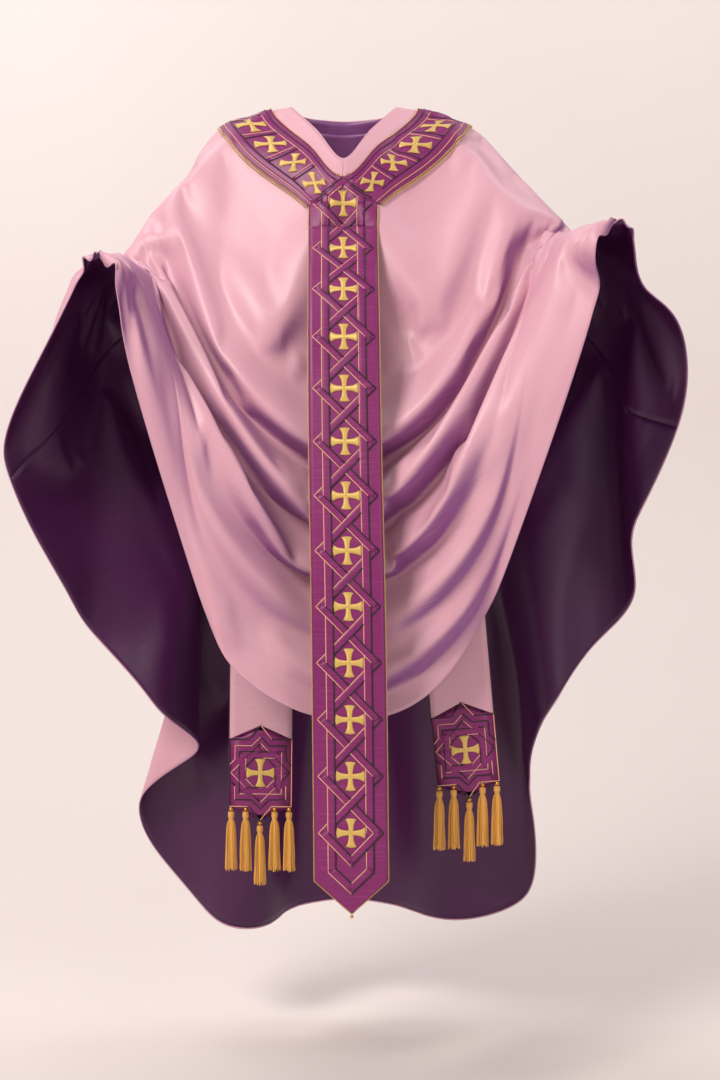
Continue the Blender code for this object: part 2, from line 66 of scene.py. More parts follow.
roomLook = {
    "camera": (0.027, -2.55, -0.731), "lens": 50,
    "floorHeight": -1.62, "sweepRadius": 1.4, "wallDistance": 3.2, "roomHalfWidth": 9.0,
    "wallHeight": 7.0, "sky": "FFF8F5", "skyStrength": 0.30,
    # place, aim, size in metres, watts and colour of each lamp
    "lamps": {
        "key": ((-2.3, -3.0, 2.3), (0.0, 0.0, -0.7), 1.5, 150, "FFF7F0"),
        "fill": ((3.0, -3.4, 0.6), (0.0, 0.0, -0.7), 2.6, 42, "FFF4F4"),
        "wallLeft": ((-2.4, 0.9, 3.4), (-1.6, 3.2, 0.0), 2.0, 66, "FFFFFF"),
        "wallRight": ((2.4, 0.9, 3.4), (1.6, 3.2, 0.0), 2.0, 44, "FFFFFF"),
    },
}


def linearColour(code, alpha=1.0):
    shares = [int(code[i:i + 2], 16) / 255 for i in (0, 2, 4)]
    return (*(s / 12.92 if s <= 0.04045 else ((s + 0.055) / 1.055) ** 2.4 for s in shares), alpha)


def addNode(tree, kind, inputs=(), **settings):
    node = tree.nodes.new(kind)
    for key, value in settings.items():
        setattr(node, key, value)
    for key, value in dict(inputs).items():
        if isinstance(value, bpy.types.NodeSocket):
            tree.links.new(value, node.inputs[key])
        else:
            node.inputs[key].default_value = value
    return node


def startMaterial(name, **sockets):
    material = bpy.data.materials.new(name)
    material.use_nodes = True
    shader = material.node_tree.nodes["Principled BSDF"]
    for socket, value in sockets.items():
        shader.inputs[socket.replace("_", " ")].default_value = value
    return material, material.node_tree, shader


def setUpRoom():
    camera = bpy.data.cameras.new("camera")
    camera.lens = roomLook["lens"]
    camera.sensor_width = 36
    stand = bpy.data.objects.new("camera", camera)
    stand.location = roomLook["camera"]
    stand.rotation_euler = (math.pi / 2, 0, 0)
    scene.collection.objects.link(stand)
    scene.camera = stand
    for name, (place, aim, size, power, colour) in roomLook["lamps"].items():
        lamp = bpy.data.lights.new(name, "AREA")
        lamp.size, lamp.energy, lamp.color = size, power, linearColour(colour)[:3]
        holder = bpy.data.objects.new(name, lamp)
        holder.location = place
        holder.rotation_euler = (Vector(aim) - Vector(place)).to_track_quat("-Z", "Y").to_euler()
        scene.collection.objects.link(holder)
    world = bpy.data.worlds.new("room")
    world.use_nodes = True
    sky = world.node_tree.nodes["Background"]
    sky.inputs["Color"].default_value = linearColour(roomLook["sky"])
    sky.inputs["Strength"].default_value = roomLook["skyStrength"]
    scene.world = world
    # Matt painted cove: one pale floor that sweeps up into the wall
    material, tree, shader = startMaterial("paintedCove", Roughness=0.85)
    spot = addNode(tree, "ShaderNodeTexCoord")
    cloud = addNode(tree, "ShaderNodeTexNoise", {"Vector": spot.outputs["Object"], "Scale": 0.8, "Detail": 3})
    tone = addNode(tree, "ShaderNodeMix", {"Factor": cloud.outputs["Fac"], 6: linearColour("ECE2DF"),
                                           7: linearColour("F3EBE8")}, data_type="RGBA")
    tree.links.new(tone.outputs[2], shader.inputs["Base Color"])
    # only its inner side is painted: from behind the wall is clear, so the object shows from every side
    side = addNode(tree, "ShaderNodeNewGeometry")
    clear = addNode(tree, "ShaderNodeBsdfTransparent")
    oneSided = addNode(tree, "ShaderNodeMixShader", {0: side.outputs["Backfacing"], 1: shader.outputs["BSDF"],
                                                     2: clear.outputs["BSDF"]})
    tree.links.new(oneSided.outputs[0], tree.nodes["Material Output"].inputs["Surface"])
    cove = bmesh.new()
    radius, wall, low = roomLook["sweepRadius"], roomLook["wallDistance"], roomLook["floorHeight"]
    outline = [(-9.0, low), (wall - radius, low)]
    outline += [(wall - radius + radius * math.sin(t), low + radius * (1 - math.cos(t)))
                for t in (math.pi / 32 * i for i in range(1, 17))]
    outline += [(wall, roomLook["wallHeight"])]
    half = roomLook["roomHalfWidth"]
    line = [cove.verts.new((-half, y, z)) for y, z in outline]
    edges = [cove.edges.new(pair) for pair in zip(line, line[1:])]
    swept = bmesh.ops.extrude_edge_only(cove, edges=edges)["geom"]
    bmesh.ops.translate(cove, verts=[v for v in swept if isinstance(v, bmesh.types.BMVert)], vec=(2 * half, 0, 0))
    cove.normal_update()
    if sum(face.normal.z for face in cove.faces) < 0:
        bmesh.ops.reverse_faces(cove, faces=cove.faces)
    data = bpy.data.meshes.new("cove")
    cove.to_mesh(data)
    cove.free()
    data.shade_smooth()
    data.materials.append(material)
    thing = bpy.data.objects.new("cove", data)
    scene.collection.objects.link(thing)


setUpRoom()
print("room, camera and lights are set")


# Materials

silkLook = {
    "rose": "D9A0B2", "violet": "7A3088", "pale": "E6B4C2",
    "slubHeight": 0.0016, "slubLength": 0.055,  # metres, thick places in the weft
    "threadPitch": 0.0011,  # the weave is nearer 0.25 mm, drawn coarser so that it shows
}


def makeDupion(name, ground, streak, shine, shotVioletAndShade=None, slubs=1.0, sheenTint=None, sheen=0.0, roughness=0.42):
    # Silk dupion: filament silk woven on a slubby weft, so streaks run across and the face has a soft dry lustre.
    material, tree, shader = startMaterial(name, Roughness=roughness, Sheen_Weight=sheen, Sheen_Roughness=0.35)
    if sheenTint:
        shader.inputs["Sheen Tint"].default_value = linearColour(sheenTint)
    shader.inputs["Anisotropic"].default_value = 0.35
    flat = addNode(tree, "ShaderNodeUVMap", uv_map="flat")
    streakSpace = addNode(tree, "ShaderNodeMapping", {
        "Vector": flat.outputs["UV"],
        "Scale": (1 / silkLook["slubLength"], 1 / silkLook["slubHeight"], 1)})
    slub = addNode(tree, "ShaderNodeTexNoise", {
        "Vector": streakSpace.outputs["Vector"], "Scale": 1.0, "Detail": 2.0, "Roughness": 0.6})
    slubMask = addNode(tree, "ShaderNodeMapRange", {
        "Value": slub.outputs["Fac"], "From Min": 0.56, "From Max": 0.72, "To Min": 0.0, "To Max": 1.0})
    threadSpace = addNode(tree, "ShaderNodeMapping", {
        "Vector": flat.outputs["UV"], "Scale": (12, 1 / silkLook["threadPitch"], 1)})
    thread = addNode(tree, "ShaderNodeTexNoise", {
        "Vector": threadSpace.outputs["Vector"], "Scale": 1.0, "Detail": 1.0})
    broad = addNode(tree, "ShaderNodeTexNoise", {"Vector": flat.outputs["UV"], "Scale": 7.0, "Detail": 2.0})
    # threads vary a little from dye lot to dye lot, which bands the cloth faintly
    base = addNode(tree, "ShaderNodeMix", {
        "Factor": broad.outputs["Fac"], 6: linearColour(ground), 7: linearColour(streak)}, data_type="RGBA")
    colour = base.outputs[2]
    # painted shade: where the 'turned' attribute is high the colour is mixed towards violet, partly the shot silk's own
    # violet and partly shade
    if shotVioletAndShade:
        turned = addNode(tree, "ShaderNodeAttribute", attribute_name="turned")
        violet = addNode(tree, "ShaderNodeMix", {
            "Factor": turned.outputs["Fac"], 6: colour, 7: linearColour(shotVioletAndShade)}, data_type="RGBA")
        colour = violet.outputs[2]
    lifted = addNode(tree, "ShaderNodeMath", {0: slubMask.outputs["Result"], 1: 0.4 * slubs}, operation="MULTIPLY")
    slubbed = addNode(tree, "ShaderNodeMix", {
        "Factor": lifted.outputs[0], 6: colour, 7: linearColour(shine)}, data_type="RGBA")
    tree.links.new(slubbed.outputs[2], shader.inputs["Base Color"])
    relief = addNode(tree, "ShaderNodeMath", {
        0: slubMask.outputs["Result"], 1: 0.8 * slubs, 2: thread.outputs["Fac"]}, operation="MULTIPLY_ADD")
    bump = addNode(tree, "ShaderNodeBump", {
        "Height": relief.outputs[0], "Strength": 0.35, "Distance": 0.0004})
    tree.links.new(bump.outputs["Normal"], shader.inputs["Normal"])
    return material


def makeThread(name, colour, grooveShade, pitch, roughness=0.38, metallic=0.0, attribute="run", strength=0.7):
    # Laid embroidery silk: threads side by side, so each stitch is a fine round ridge, with painted shade in its
    # grooves and a painted highlight on each ridge besides the bump.
    material, tree, shader = startMaterial(name, Roughness=roughness, Metallic=metallic, Sheen_Weight=0.2)
    run = addNode(tree, "ShaderNodeAttribute", attribute_name=attribute)
    spot = addNode(tree, "ShaderNodeTexCoord")
    uneven = addNode(tree, "ShaderNodeTexNoise", {"Vector": spot.outputs["Object"], "Scale": 900.0, "Detail": 1.0})
    shifted = addNode(tree, "ShaderNodeMath", {0: uneven.outputs["Fac"], 1: 0.0005, 2: run.outputs["Fac"]},
                      operation="MULTIPLY_ADD")
    turns = addNode(tree, "ShaderNodeMath", {0: shifted.outputs[0], 1: math.tau / pitch}, operation="MULTIPLY")
    ridge = addNode(tree, "ShaderNodeMath", {0: turns.outputs[0]}, operation="SINE")
    share = addNode(tree, "ShaderNodeMapRange", {
        "Value": ridge.outputs[0], "From Min": -1.0, "From Max": 1.0, "To Min": 0.0, "To Max": 1.0})
    # painted shade and highlight: the colour runs from the groove shade to the thread's own colour along with the
    # ridges
    tone = addNode(tree, "ShaderNodeMix", {
        "Factor": share.outputs["Result"], 6: linearColour(grooveShade), 7: linearColour(colour)}, data_type="RGBA")
    tree.links.new(tone.outputs[2], shader.inputs["Base Color"])
    bump = addNode(tree, "ShaderNodeBump", {"Height": share.outputs["Result"], "Strength": strength, "Distance": 0.0003})
    tree.links.new(bump.outputs["Normal"], shader.inputs["Normal"])
    return material


roseSilk = makeDupion("shotSilkDupion", silkLook["rose"], silkLook["pale"], "F8DADD", shotVioletAndShade=silkLook["violet"],
                      slubs=0.5, sheenTint="D0A0E0", sheen=0.10, roughness=0.40)
purpleLining = makeDupion("liningSilkDupion", "4E0F4C", "3A0A3E", "8A3F78", sheenTint="B0409C", sheen=0.05,
                          slubs=0.35, roughness=0.42)
purpleSilk = makeDupion("orphreySilkDupion", "8C246C", "7A1C62", "BE559C", sheenTint="D070C0", sheen=0.08, slubs=1.0)
canvasCloth = makeDupion("linenCanvas", "C9BFAA", "BDB199", "DDD5C4", roughness=0.9)
goldSatin = makeThread("goldSatinStitch", "F7DC84", "CB9838", 0.0014, roughness=0.28, metallic=0.15)
goldCord = makeThread("goldPassingCord", "F6D681", "B98532", 0.0012, roughness=0.32, metallic=0.25)
pinkGoldThread = makeThread("pinkGoldCouching", "FFCBA8", "D48E70", 0.0016, roughness=0.4)
blackThread = makeThread("blackCouching", "120812", "080408", 0.0016, roughness=0.5)
tasselSilk = makeThread("goldTasselRayon", "F4BE5C", "D2923A", 0.0014, roughness=0.34, strength=0.25)
gilt, giltTree, giltShader = startMaterial("giltBrass", Metallic=1.0, Roughness=0.22)
giltSpot = addNode(giltTree, "ShaderNodeTexCoord")
giltWear = addNode(giltTree, "ShaderNodeTexNoise", {"Vector": giltSpot.outputs["Object"], "Scale": 400.0, "Detail": 2})
giltTone = addNode(giltTree, "ShaderNodeMix", {
    "Factor": giltWear.outputs["Fac"], 6: linearColour("E9B84C"), 7: linearColour("C98F2E")}, data_type="RGBA")
giltTree.links.new(giltTone.outputs[2], giltShader.inputs["Base Color"])
print("materials are mixed")


# The cloth: a ring of rays from the neck edge to the hem. A ray's angle is 0 at the front centre,
# 70 at the shoulder seam and 140 at the back centre; down runs from 0 at the neck to 1 at the hem.

clothLook = {
    "rays": 208, "rings": 64, "frames": 42,
    "seam": 70, "back": 140, "hold": 43,  # the cloth rests on the wrist at the hold's hem
    "flatTurn": 0.857,  # a ray's angle on the flat cloth, over its angle here
    "neck": (0.165, 0.09, 0.08),  # flat, from the neck's centre to the neck edge: front, shoulder, back
    "hem": {0: 1.33, 22: 1.25, 43: 1.0, 60: 0.89, 70: 0.87, 85: 1.03, 97: 1.18, 110: 1.32, 126: 1.46, 140: 1.42},
    "swagDepth": 0.03, "swagPitch": 0.12,
    "silkThickness": 0.0012, "liningThickness": 0.0008, "liningHeight": -0.0015,
}


def raysOf(side, wrist, elbow, hems):
    x, y, z = elbow
    rays = {
        22: [(0.045, -0.075, -0.055), (0.12, -0.17, -0.24), (0.175, -0.23, -0.42),
             (0.215, -0.28, -0.58), (0.238, -0.31, -0.73), (0.232, -0.32, -0.87)],
        43: [(0.088, -0.01, 0.0), (0.21, -0.02, -0.035), ((0.21 + x) / 2, -0.05, (z - 0.035) / 2), elbow,
             ((x + wrist[0]) / 2, (y + wrist[1]) / 2, (z + wrist[2]) / 2 + 0.005), wrist],
        65: [(0.083, 0.025, 0.0), (0.19, 0.045, -0.05), (0.30, 0.05, -0.19),
             (0.42, 0.0, -0.34), (0.49, -0.07, -0.46), hems[0]],
        85: [(0.068, 0.05, 0.0), (0.16, 0.10, -0.10), (0.27, 0.12, -0.26),
             (0.36, 0.10, -0.45), (0.37, 0.03, -0.64), hems[1]],
        97: [(0.055, 0.06, 0.0), (0.13, 0.125, -0.13), (0.22, 0.155, -0.32),
             (0.29, 0.15, -0.54), (0.28, 0.08, -0.77), hems[2]],
        110: [(0.038, 0.066, 0.0), (0.095, 0.14, -0.17), (0.16, 0.175, -0.40),
              (0.23, 0.19, -0.66), (0.33, 0.17, -0.92), hems[3]],
        126: [(0.02, 0.072, 0.0), (0.05, 0.148, -0.20), (0.085, 0.187, -0.46),
              (0.14, 0.20, -0.74), (0.23, 0.178, -1.05), hems[4]],
    }
    return {side * a: [(side * px, py, pz) for px, py, pz in ray] for a, ray in rays.items()}


arms = {
    1: {"wrist": (0.40, -0.33, -0.265), "elbow": (0.378, -0.08, -0.24)},
    -1: {"wrist": (0.355, -0.33, -0.315), "elbow": (0.372, -0.08, -0.29)},
}
hemPlaces = {
    1: [(0.555, -0.13, -0.475), (0.45, -0.05, -0.80), (0.27, 0.02, -0.975), (0.362, 0.15, -1.15), (0.330, 0.135, -1.38)],
    -1: [(0.545, -0.13, -0.57), (0.40, -0.05, -0.82), (0.245, 0.0, -0.975), (0.432, 0.15, -1.15), (0.288, 0.15, -1.39)],
}
centreRays = {
    0: [(0, -0.125, -0.115), (0, -0.212, -0.33), (0, -0.262, -0.53),
        (0, -0.295, -0.72), (0, -0.315, -0.88), (0, -0.30, -1.03)],
    140: [(0, 0.075, 0), (0, 0.155, -0.22), (0, 0.195, -0.48), (0, 0.21, -0.76), (0, 0.21, -1.06), (0, 0.20, -1.40)],
}
pillarRoutes = {  # points down the pillars' centre lines, below their tops
    False: ((0.002, -0.249, -0.42), (0.005, -0.292, -0.62), (0.009, -0.318, -0.80),
            (0.012, -0.333, -1.0), (0.015, -0.338, -1.29)),
    True: ((0, 0.200, -0.40), (0, 0.224, -0.60), (0, 0.238, -0.80), (0, 0.246, -1.02), (0, 0.250, -1.27)),
}
jointAnchors = {joint["name"]: Vector(joint["pos_m"]) for joint in frame["joints"]}


def smoothThrough(knots, values, at):
    knots, values, at = np.asarray(knots, float), np.asarray(values, float), np.atleast_1d(np.asarray(at, float))
    shape = values.shape[1:]
    values = values.reshape(len(knots), -1)
    before, after = np.maximum(np.arange(len(knots)) - 1, 0), np.minimum(np.arange(len(knots)) + 1, len(knots) - 1)
    slopes = (values[after] - values[before]) / (knots[after] - knots[before])[:, None]
    left = np.clip(np.searchsorted(knots, at) - 1, 0, len(knots) - 2)
    span = knots[left + 1] - knots[left]
    s = ((at - knots[left]) / span)[:, None]
    span = span[:, None]
    found = ((2 * s**3 - 3 * s**2 + 1) * values[left] + (s**3 - 2 * s**2 + s) * span * slopes[left]
             + (3 * s**2 - 2 * s**3) * values[left + 1] + (s**3 - s**2) * span * slopes[left + 1])
    return found.reshape(len(at), *shape)


def neckRadius(angle):
    front, side, back = clothLook["neck"]
    turn = np.abs(angle)
    before = side + (front - side) * np.cos(np.radians(np.minimum(turn, 70) * 90 / 70)) ** 2
    return np.where(turn < 70, before, side + (back - side) * (turn - 70) / 70)


def hemRadius(angle):
    hem = clothLook["hem"]
    knots = [-22, *hem, 154]
    lengths = [hem[22], *hem.values(), hem[126]]
    return smoothThrough(knots, np.array(lengths)[:, None], np.abs(np.ravel(angle)))[:, 0].reshape(np.shape(angle))


def flatSpot(angle, down):
    turn = np.abs(angle)
    turn = np.radians(np.where(turn > 70, 140 - turn, turn) * clothLook["flatTurn"]) * np.sign(angle)
    radius = neckRadius(angle) + (hemRadius(angle) - neckRadius(angle)) * down
    return np.stack([radius * np.sin(turn), -radius * np.cos(turn)], axis=-1)


def startDrape():
    # the cloth as it is put on, with its spare length stored in loose swags across the front
    net = {**centreRays}
    for side in (1, -1):
        net.update(raysOf(side, arms[side]["wrist"], arms[side]["elbow"], hemPlaces[side]))
    keys = sorted(net)
    angles = [k - 280 for k in keys[-3:]] + keys + [k + 280 for k in keys[:3]]
    values = [net[k] for k in keys[-3:]] + [net[k] for k in keys] + [net[k] for k in keys[:3]]
    rays, rings = clothLook["rays"], clothLook["rings"]
    at = np.linspace(-140, 140, rays, endpoint=False)
    down = np.linspace(0, 1, rings)
    controls = smoothThrough(angles, values, at)
    start = np.stack([smoothThrough(np.linspace(0, 1, 6), control, down) for control in controls], axis=1)
    turn = np.abs(at)[None, :]
    sway = np.cos(np.radians(np.minimum(turn, 43) * 90 / 43))
    swell = np.exp(-((down[:, None] - 0.55) / 0.22) ** 2)
    wave = np.cos(math.tau * ((down[:, None] - 0.32) / clothLook["swagPitch"] + turn / 43 * 0.35))
    start[..., 1] -= clothLook["swagDepth"] * swell * sway * wave
    return start, at, down


def addCollider(mesh, name):
    data = bpy.data.meshes.new(name)
    bmesh.ops.recalc_face_normals(mesh, faces=mesh.faces)
    mesh.to_mesh(data)
    mesh.free()
    thing = bpy.data.objects.new(name, data)
    scene.collection.objects.link(thing)
    thing.modifiers.new("touch", "COLLISION")
    thing.collision.thickness_outer = 0.006
    thing.collision.thickness_inner = 0.05
    thing.collision.cloth_friction = 30
    return thing


def makeWearer():
    # unseen forms that the cloth hangs on: trunk, arms, full sleeves, and the stiff pillars that hold it back
    shapes = []
    trunk = bmesh.new()
    sections = [(-1.5, 0.20, 0.16, 0.01), (-1.2, 0.19, 0.15, 0.01), (-0.9, 0.175, 0.14, 0.01), (-0.65, 0.17, 0.13, 0.0),
                (-0.45, 0.165, 0.125, -0.01), (-0.25, 0.175, 0.125, -0.01), (-0.12, 0.165, 0.095, 0.0),
                (-0.05, 0.125, 0.07, 0.01), (-0.01, 0.075, 0.055, 0.015), (0.08, 0.06, 0.05, 0.015)]
    hoops = []
    for z, wide, deep, forward in sections:
        hoop = bmesh.ops.create_circle(trunk, cap_ends=False, segments=32, radius=1.0)["verts"]
        bmesh.ops.scale(trunk, vec=(wide, deep, 1), verts=hoop)
        bmesh.ops.translate(trunk, vec=(0, forward, z), verts=hoop)
        hoops.append(list({edge for vert in hoop for edge in vert.link_edges}))
    for low, high in zip(hoops, hoops[1:]):
        bmesh.ops.bridge_loops(trunk, edges=low + high)
    bmesh.ops.contextual_create(trunk, geom=hoops[0])
    bmesh.ops.contextual_create(trunk, geom=hoops[-1])
    shapes.append(addCollider(trunk, "trunk"))
    for side in (1, -1):
        x, y, z = arms[side]["elbow"]
        shoulder = Vector((side * 0.165, 0, -0.095))
        elbow = Vector((side * (x - 0.03), y + 0.01, z - 0.05))
        x, y, z = arms[side]["wrist"]
        wrist = Vector((side * x, y + 0.01, z - 0.04))
        for start, end, thick, thin in ((shoulder, elbow, 0.052, 0.045), (elbow, wrist, 0.045, 0.03)):
            limb = bmesh.new()
            turn = (end - start).to_track_quat("Z", "Y").to_matrix().to_4x4()
            bmesh.ops.create_cone(limb, cap_ends=True, segments=20, radius1=thick, radius2=thin,
                                  depth=(end - start).length,
                                  matrix=Matrix.Translation((start + end) / 2) @ turn)
            shapes.append(addCollider(limb, "limb"))
        sleeve = (elbow + wrist) / 2 + Vector((side * 0.02, 0.04, -0.12))
        for centre, size in ((shoulder, (0.055,) * 3), (elbow, (0.047,) * 3), (wrist, (0.032,) * 3),
                             (sleeve, (0.075, 0.15, 0.13))):
            bulge = bmesh.new()
            bmesh.ops.create_uvsphere(bulge, u_segments=32, v_segments=20, radius=1.0,
                                      matrix=Matrix.Translation(centre) @ Matrix.Diagonal((*size, 1)))
            shapes.append(addCollider(bulge, "bulge"))
    for back, top, reach in ((False, (0, -0.197, -0.30), -0.08), (True, (0, 0.168, -0.30), 0.08)):
        plate = bmesh.new()
        line = [plate.verts.new((x - 0.05, y, z)) for x, y, z in (top, *pillarRoutes[back])]
        edges = [plate.edges.new(pair) for pair in zip(line, line[1:])]
        grown = bmesh.ops.extrude_edge_only(plate, edges=edges)["geom"]
        bmesh.ops.translate(plate, vec=(0.10, 0, 0), verts=[v for v in grown if isinstance(v, bmesh.types.BMVert)])
        grown = bmesh.ops.extrude_face_region(plate, geom=plate.faces[:])["geom"]
        bmesh.ops.translate(plate, vec=(0, reach, 0), verts=[v for v in grown if isinstance(v, bmesh.types.BMVert)])
        shapes.append(addCollider(plate, "plate"))
    return shapes


def settleCloth():
    start, angles, down = startDrape()
    rings, rays = start.shape[:2]
    flat = flatSpot(np.broadcast_to(angles, (rings, rays)), down[:, None])
    rest = np.stack([flat[..., 0], np.zeros((rings, rays)), flat[..., 1]], axis=-1)
    sheet = bmesh.new()
    bmesh.ops.create_grid(sheet, x_segments=rays, y_segments=rings - 1, size=0.5)
    sheet.verts.ensure_lookup_table()
    for i in range(rings):  # the last column is the first one again
        for j in range(rays + 1):
            vert = sheet.verts[i * (rays + 1) + j]
            vert.co = start[i, j % rays]
    seam = [sheet.verts[i * (rays + 1) + j] for i in range(rings) for j in (0, rays)]
    bmesh.ops.remove_doubles(sheet, verts=seam, dist=1e-7)
    bmesh.ops.reverse_faces(sheet, faces=sheet.faces)
    data = bpy.data.meshes.new("settling")
    sheet.to_mesh(data)
    sheet.free()
    co = np.empty(len(data.vertices) * 3, np.float32)
    data.vertices.foreach_get("co", co)
    co = co.reshape(-1, 3)
    # merging keeps one of each pair, so each point is looked up by its place
    known = {tuple(np.round(start[i, j], 5)): (i, j) for i in range(rings) for j in range(rays)}
    cells = [known[tuple(np.round(point.astype(float), 5))] if tuple(np.round(point.astype(float), 5)) in known
             else None for point in co]
    if None in cells:
        flatStart = start.reshape(-1, 3)
        for n, cell in enumerate(cells):
            if cell is None:
                nearest = int(np.argmin(((flatStart - co[n]) ** 2).sum(axis=1)))
                cells[n] = divmod(nearest, rays)
    cells = np.array(cells)
    cloth = bpy.data.objects.new("settling", data)
    scene.collection.objects.link(cloth)
    cloth.shape_key_add(name="worn")
    pattern = cloth.shape_key_add(name="pattern")
    pattern.data.foreach_set("co", rest[cells[:, 0], cells[:, 1]].astype(np.float32).ravel())
    pattern.value = 0
    held = cloth.vertex_groups.new(name="held")
    turn = np.abs(angles[cells[:, 1]])
    firm = (cells[:, 0] <= 2) | ((cells[:, 0] == rings - 1) & (np.abs(turn - 43) < 280 / rays))
    soft = 0.3 * np.exp(-((turn - 65) / 9) ** 2) * (cells[:, 0] >= rings - 4)
    for n in range(len(cells)):
        weight = 1.0 if firm[n] else float(soft[n])
        if weight > 0.015:
            held.add([n], weight, "REPLACE")
    wearer = makeWearer()
    drape = cloth.modifiers.new("drape", "CLOTH")
    how = drape.settings
    how.quality, how.mass = 8, 0.06
    how.tension_stiffness = how.compression_stiffness = 60
    how.shear_stiffness = 20
    how.bending_model, how.bending_stiffness = "ANGULAR", 4
    how.tension_damping = how.compression_damping = how.shear_damping = 5
    how.bending_damping, how.air_damping = 0.5, 1.0
    how.vertex_group_mass, how.pin_stiffness, how.rest_shape_key = "held", 1, pattern
    touch = drape.collision_settings
    touch.use_collision, touch.collision_quality, touch.distance_min = True, 3, 0.006
    drape.point_cache.frame_start, drape.point_cache.frame_end = 1, clothLook["frames"] + 5
    scene.frame_start, scene.frame_end = 1, clothLook["frames"] + 5
    for step in range(1, clothLook["frames"] + 1):
        scene.frame_set(step)
    settled = cloth.evaluated_get(bpy.context.evaluated_depsgraph_get()).data
    co = np.empty(len(settled.vertices) * 3, np.float32)
    settled.vertices.foreach_get("co", co)
    found = np.zeros((rings, rays, 3))
    found[cells[:, 0], cells[:, 1]] = co.reshape(-1, 3)
    for thing in (cloth, *wearer):
        mesh = thing.data
        bpy.data.objects.remove(thing)
        bpy.data.meshes.remove(mesh)
    scene.frame_set(1)
    return found


drape = settleCloth()
paddedDrape = np.concatenate([2 * drape[:1] - drape[1:2], drape, 2 * drape[-1:] - drape[-2:-1]])
print("cloth settled, from", drape.min(axis=(0, 1)).round(3), "to", drape.max(axis=(0, 1)).round(3))


def clothAt(angle, down):
    rings, rays = drape.shape[:2]
    ray = (np.asarray(angle, float) + 140) / 280 * rays
    ring = np.clip(down, 0, 1) * (rings - 1)
    firstRay = np.floor(ray).astype(int)
    firstRing = np.clip(np.floor(ring).astype(int), 0, rings - 2)

    def weights(s):
        return ((-s**3 + 2 * s**2 - s) / 2, (3 * s**3 - 5 * s**2 + 2) / 2, (-3 * s**3 + 4 * s**2 + s) / 2, (s**3 - s**2) / 2)

    total = 0
    for i, across in enumerate(weights(ring - firstRing)):
        for j, along in enumerate(weights(ray - firstRay)):
            total = total + (across * along)[..., None] * paddedDrape[firstRing + i, (firstRay + j - 1) % rays]
    return total


def unit(vectors):
    return vectors / np.maximum(np.linalg.norm(vectors, axis=-1, keepdims=True), 1e-12)


def clothSpot(angle, down):
    below = clothAt(angle, np.minimum(down + 0.006, 1)) - clothAt(angle, np.maximum(down - 0.006, 0))
    around = clothAt(angle + 1.0, down) - clothAt(angle - 1.0, down)
    return clothAt(angle, down), unit(np.cross(below, around))


yokeLook = {
    "inner": 0.036, "outer": 0.129,  # true lengths from the neck edge to the yoke's edges
    "corner": {False: 15.1, True: 19.0},  # the pillar's corners, as ray angles from the centre
    "alongAtNeck": {False: 0.165, True: 0.130},
    "crosses": {False: 4, True: 2}, "crossHalf": 0.0218, "bay": 0.060, "firstBar": {False: 0.0, True: 0.018},
    "border": (0.010, 0.0215), "faceHeight": 0.0044, "thickness": 0.001,
}

# How far down each ray a true length from the neck edge reaches, so that the yoke keeps its real width
reachStep = 0.005
rayLengths = np.cumsum(np.linalg.norm(np.diff(drape, axis=0, prepend=drape[:1]), axis=2), axis=0)
reachTable = np.stack([np.interp(np.arange(0, 0.3, reachStep), lengths, np.linspace(0, 1, len(drape)))
                       for lengths in rayLengths.T], axis=1)


def reachDown(angle, length):
    rays = reachTable.shape[1]
    ray, step = (angle + 140) / 280 * rays, np.clip(length / reachStep, 0, len(reachTable) - 1.001)
    firstRay, firstStep = np.floor(ray).astype(int), np.floor(step).astype(int)
    r, s = ray - firstRay, step - firstStep
    a, b = firstRay % rays, (firstRay + 1) % rays
    near = reachTable[firstStep, a] * (1 - r) + reachTable[firstStep, b] * r
    far = reachTable[firstStep + 1, a] * (1 - r) + reachTable[firstStep + 1, b] * r
    return near * (1 - s) + far * s


# Front and back centre lines: along is measured so that the first cross is at the same figure on both
frontTree = BVHTree.FromPolygons(
    [Vector(p) for p in drape.reshape(-1, 3)],
    [(i * drape.shape[1] + j, (i + 1) * drape.shape[1] + j, (i + 1) * drape.shape[1] + (j + 1) % drape.shape[1],
      i * drape.shape[1] + (j + 1) % drape.shape[1]) for i in range(44) for j in range(drape.shape[1])])


def throatSpot(across, along, back):
    # the cloth under the V, straight in from the front or the back
    centre = np.full(len(along), 140.0 if back else 0.0)
    middle, normal = clothSpot(centre, reachDown(centre, along - yokeLook["alongAtNeck"][back]))
    points, normals = middle.copy(), normal.copy()
    inward = Vector((0, -1 if back else 1, 0))
    for n, (x, z) in enumerate(zip(across, middle[:, 2])):
        spot, slope, _, _ = frontTree.ray_cast(Vector((x, -inward.y, z)), inward)
        points[n, 0] = x
        if spot:
            points[n, 1] = spot.y
            slope = slope if slope.y * inward.y < 0 else -slope
            normals[n] = slope
    # facets would show on the flat stiff yoke, so its slope is evened out
    normals = unit(0.35 * unit(normals) + 0.65 * normal)
    return points, normals


# Making pieces. A pattern is drawn flat, x across, y down and z proud of the cloth, and then laid on its surface.

def layOn(mesh, place, flat=None):
    count = len(mesh.vertices)
    co = np.empty(count * 3, np.float32)
    mesh.vertices.foreach_get("co", co)
    co = co.reshape(-1, 3).astype(float)
    points, normals = place(co[:, 0], co[:, 1])
    mesh.vertices.foreach_set("co", (points + co[:, 2:3] * normals).astype(np.float32).ravel())
    mesh.flip_normals()
    spread = flat(co) if flat else co[:, :2]
    for old in list(mesh.uv_layers):
        mesh.uv_layers.remove(old)
    layer = mesh.uv_layers.new(name="flat")
    corner = np.empty(len(mesh.loops), np.int32)
    mesh.loops.foreach_get("vertex_index", corner)
    layer.data.foreach_set("uv", spread[corner].astype(np.float32).ravel())
    mesh.update()
    return mesh


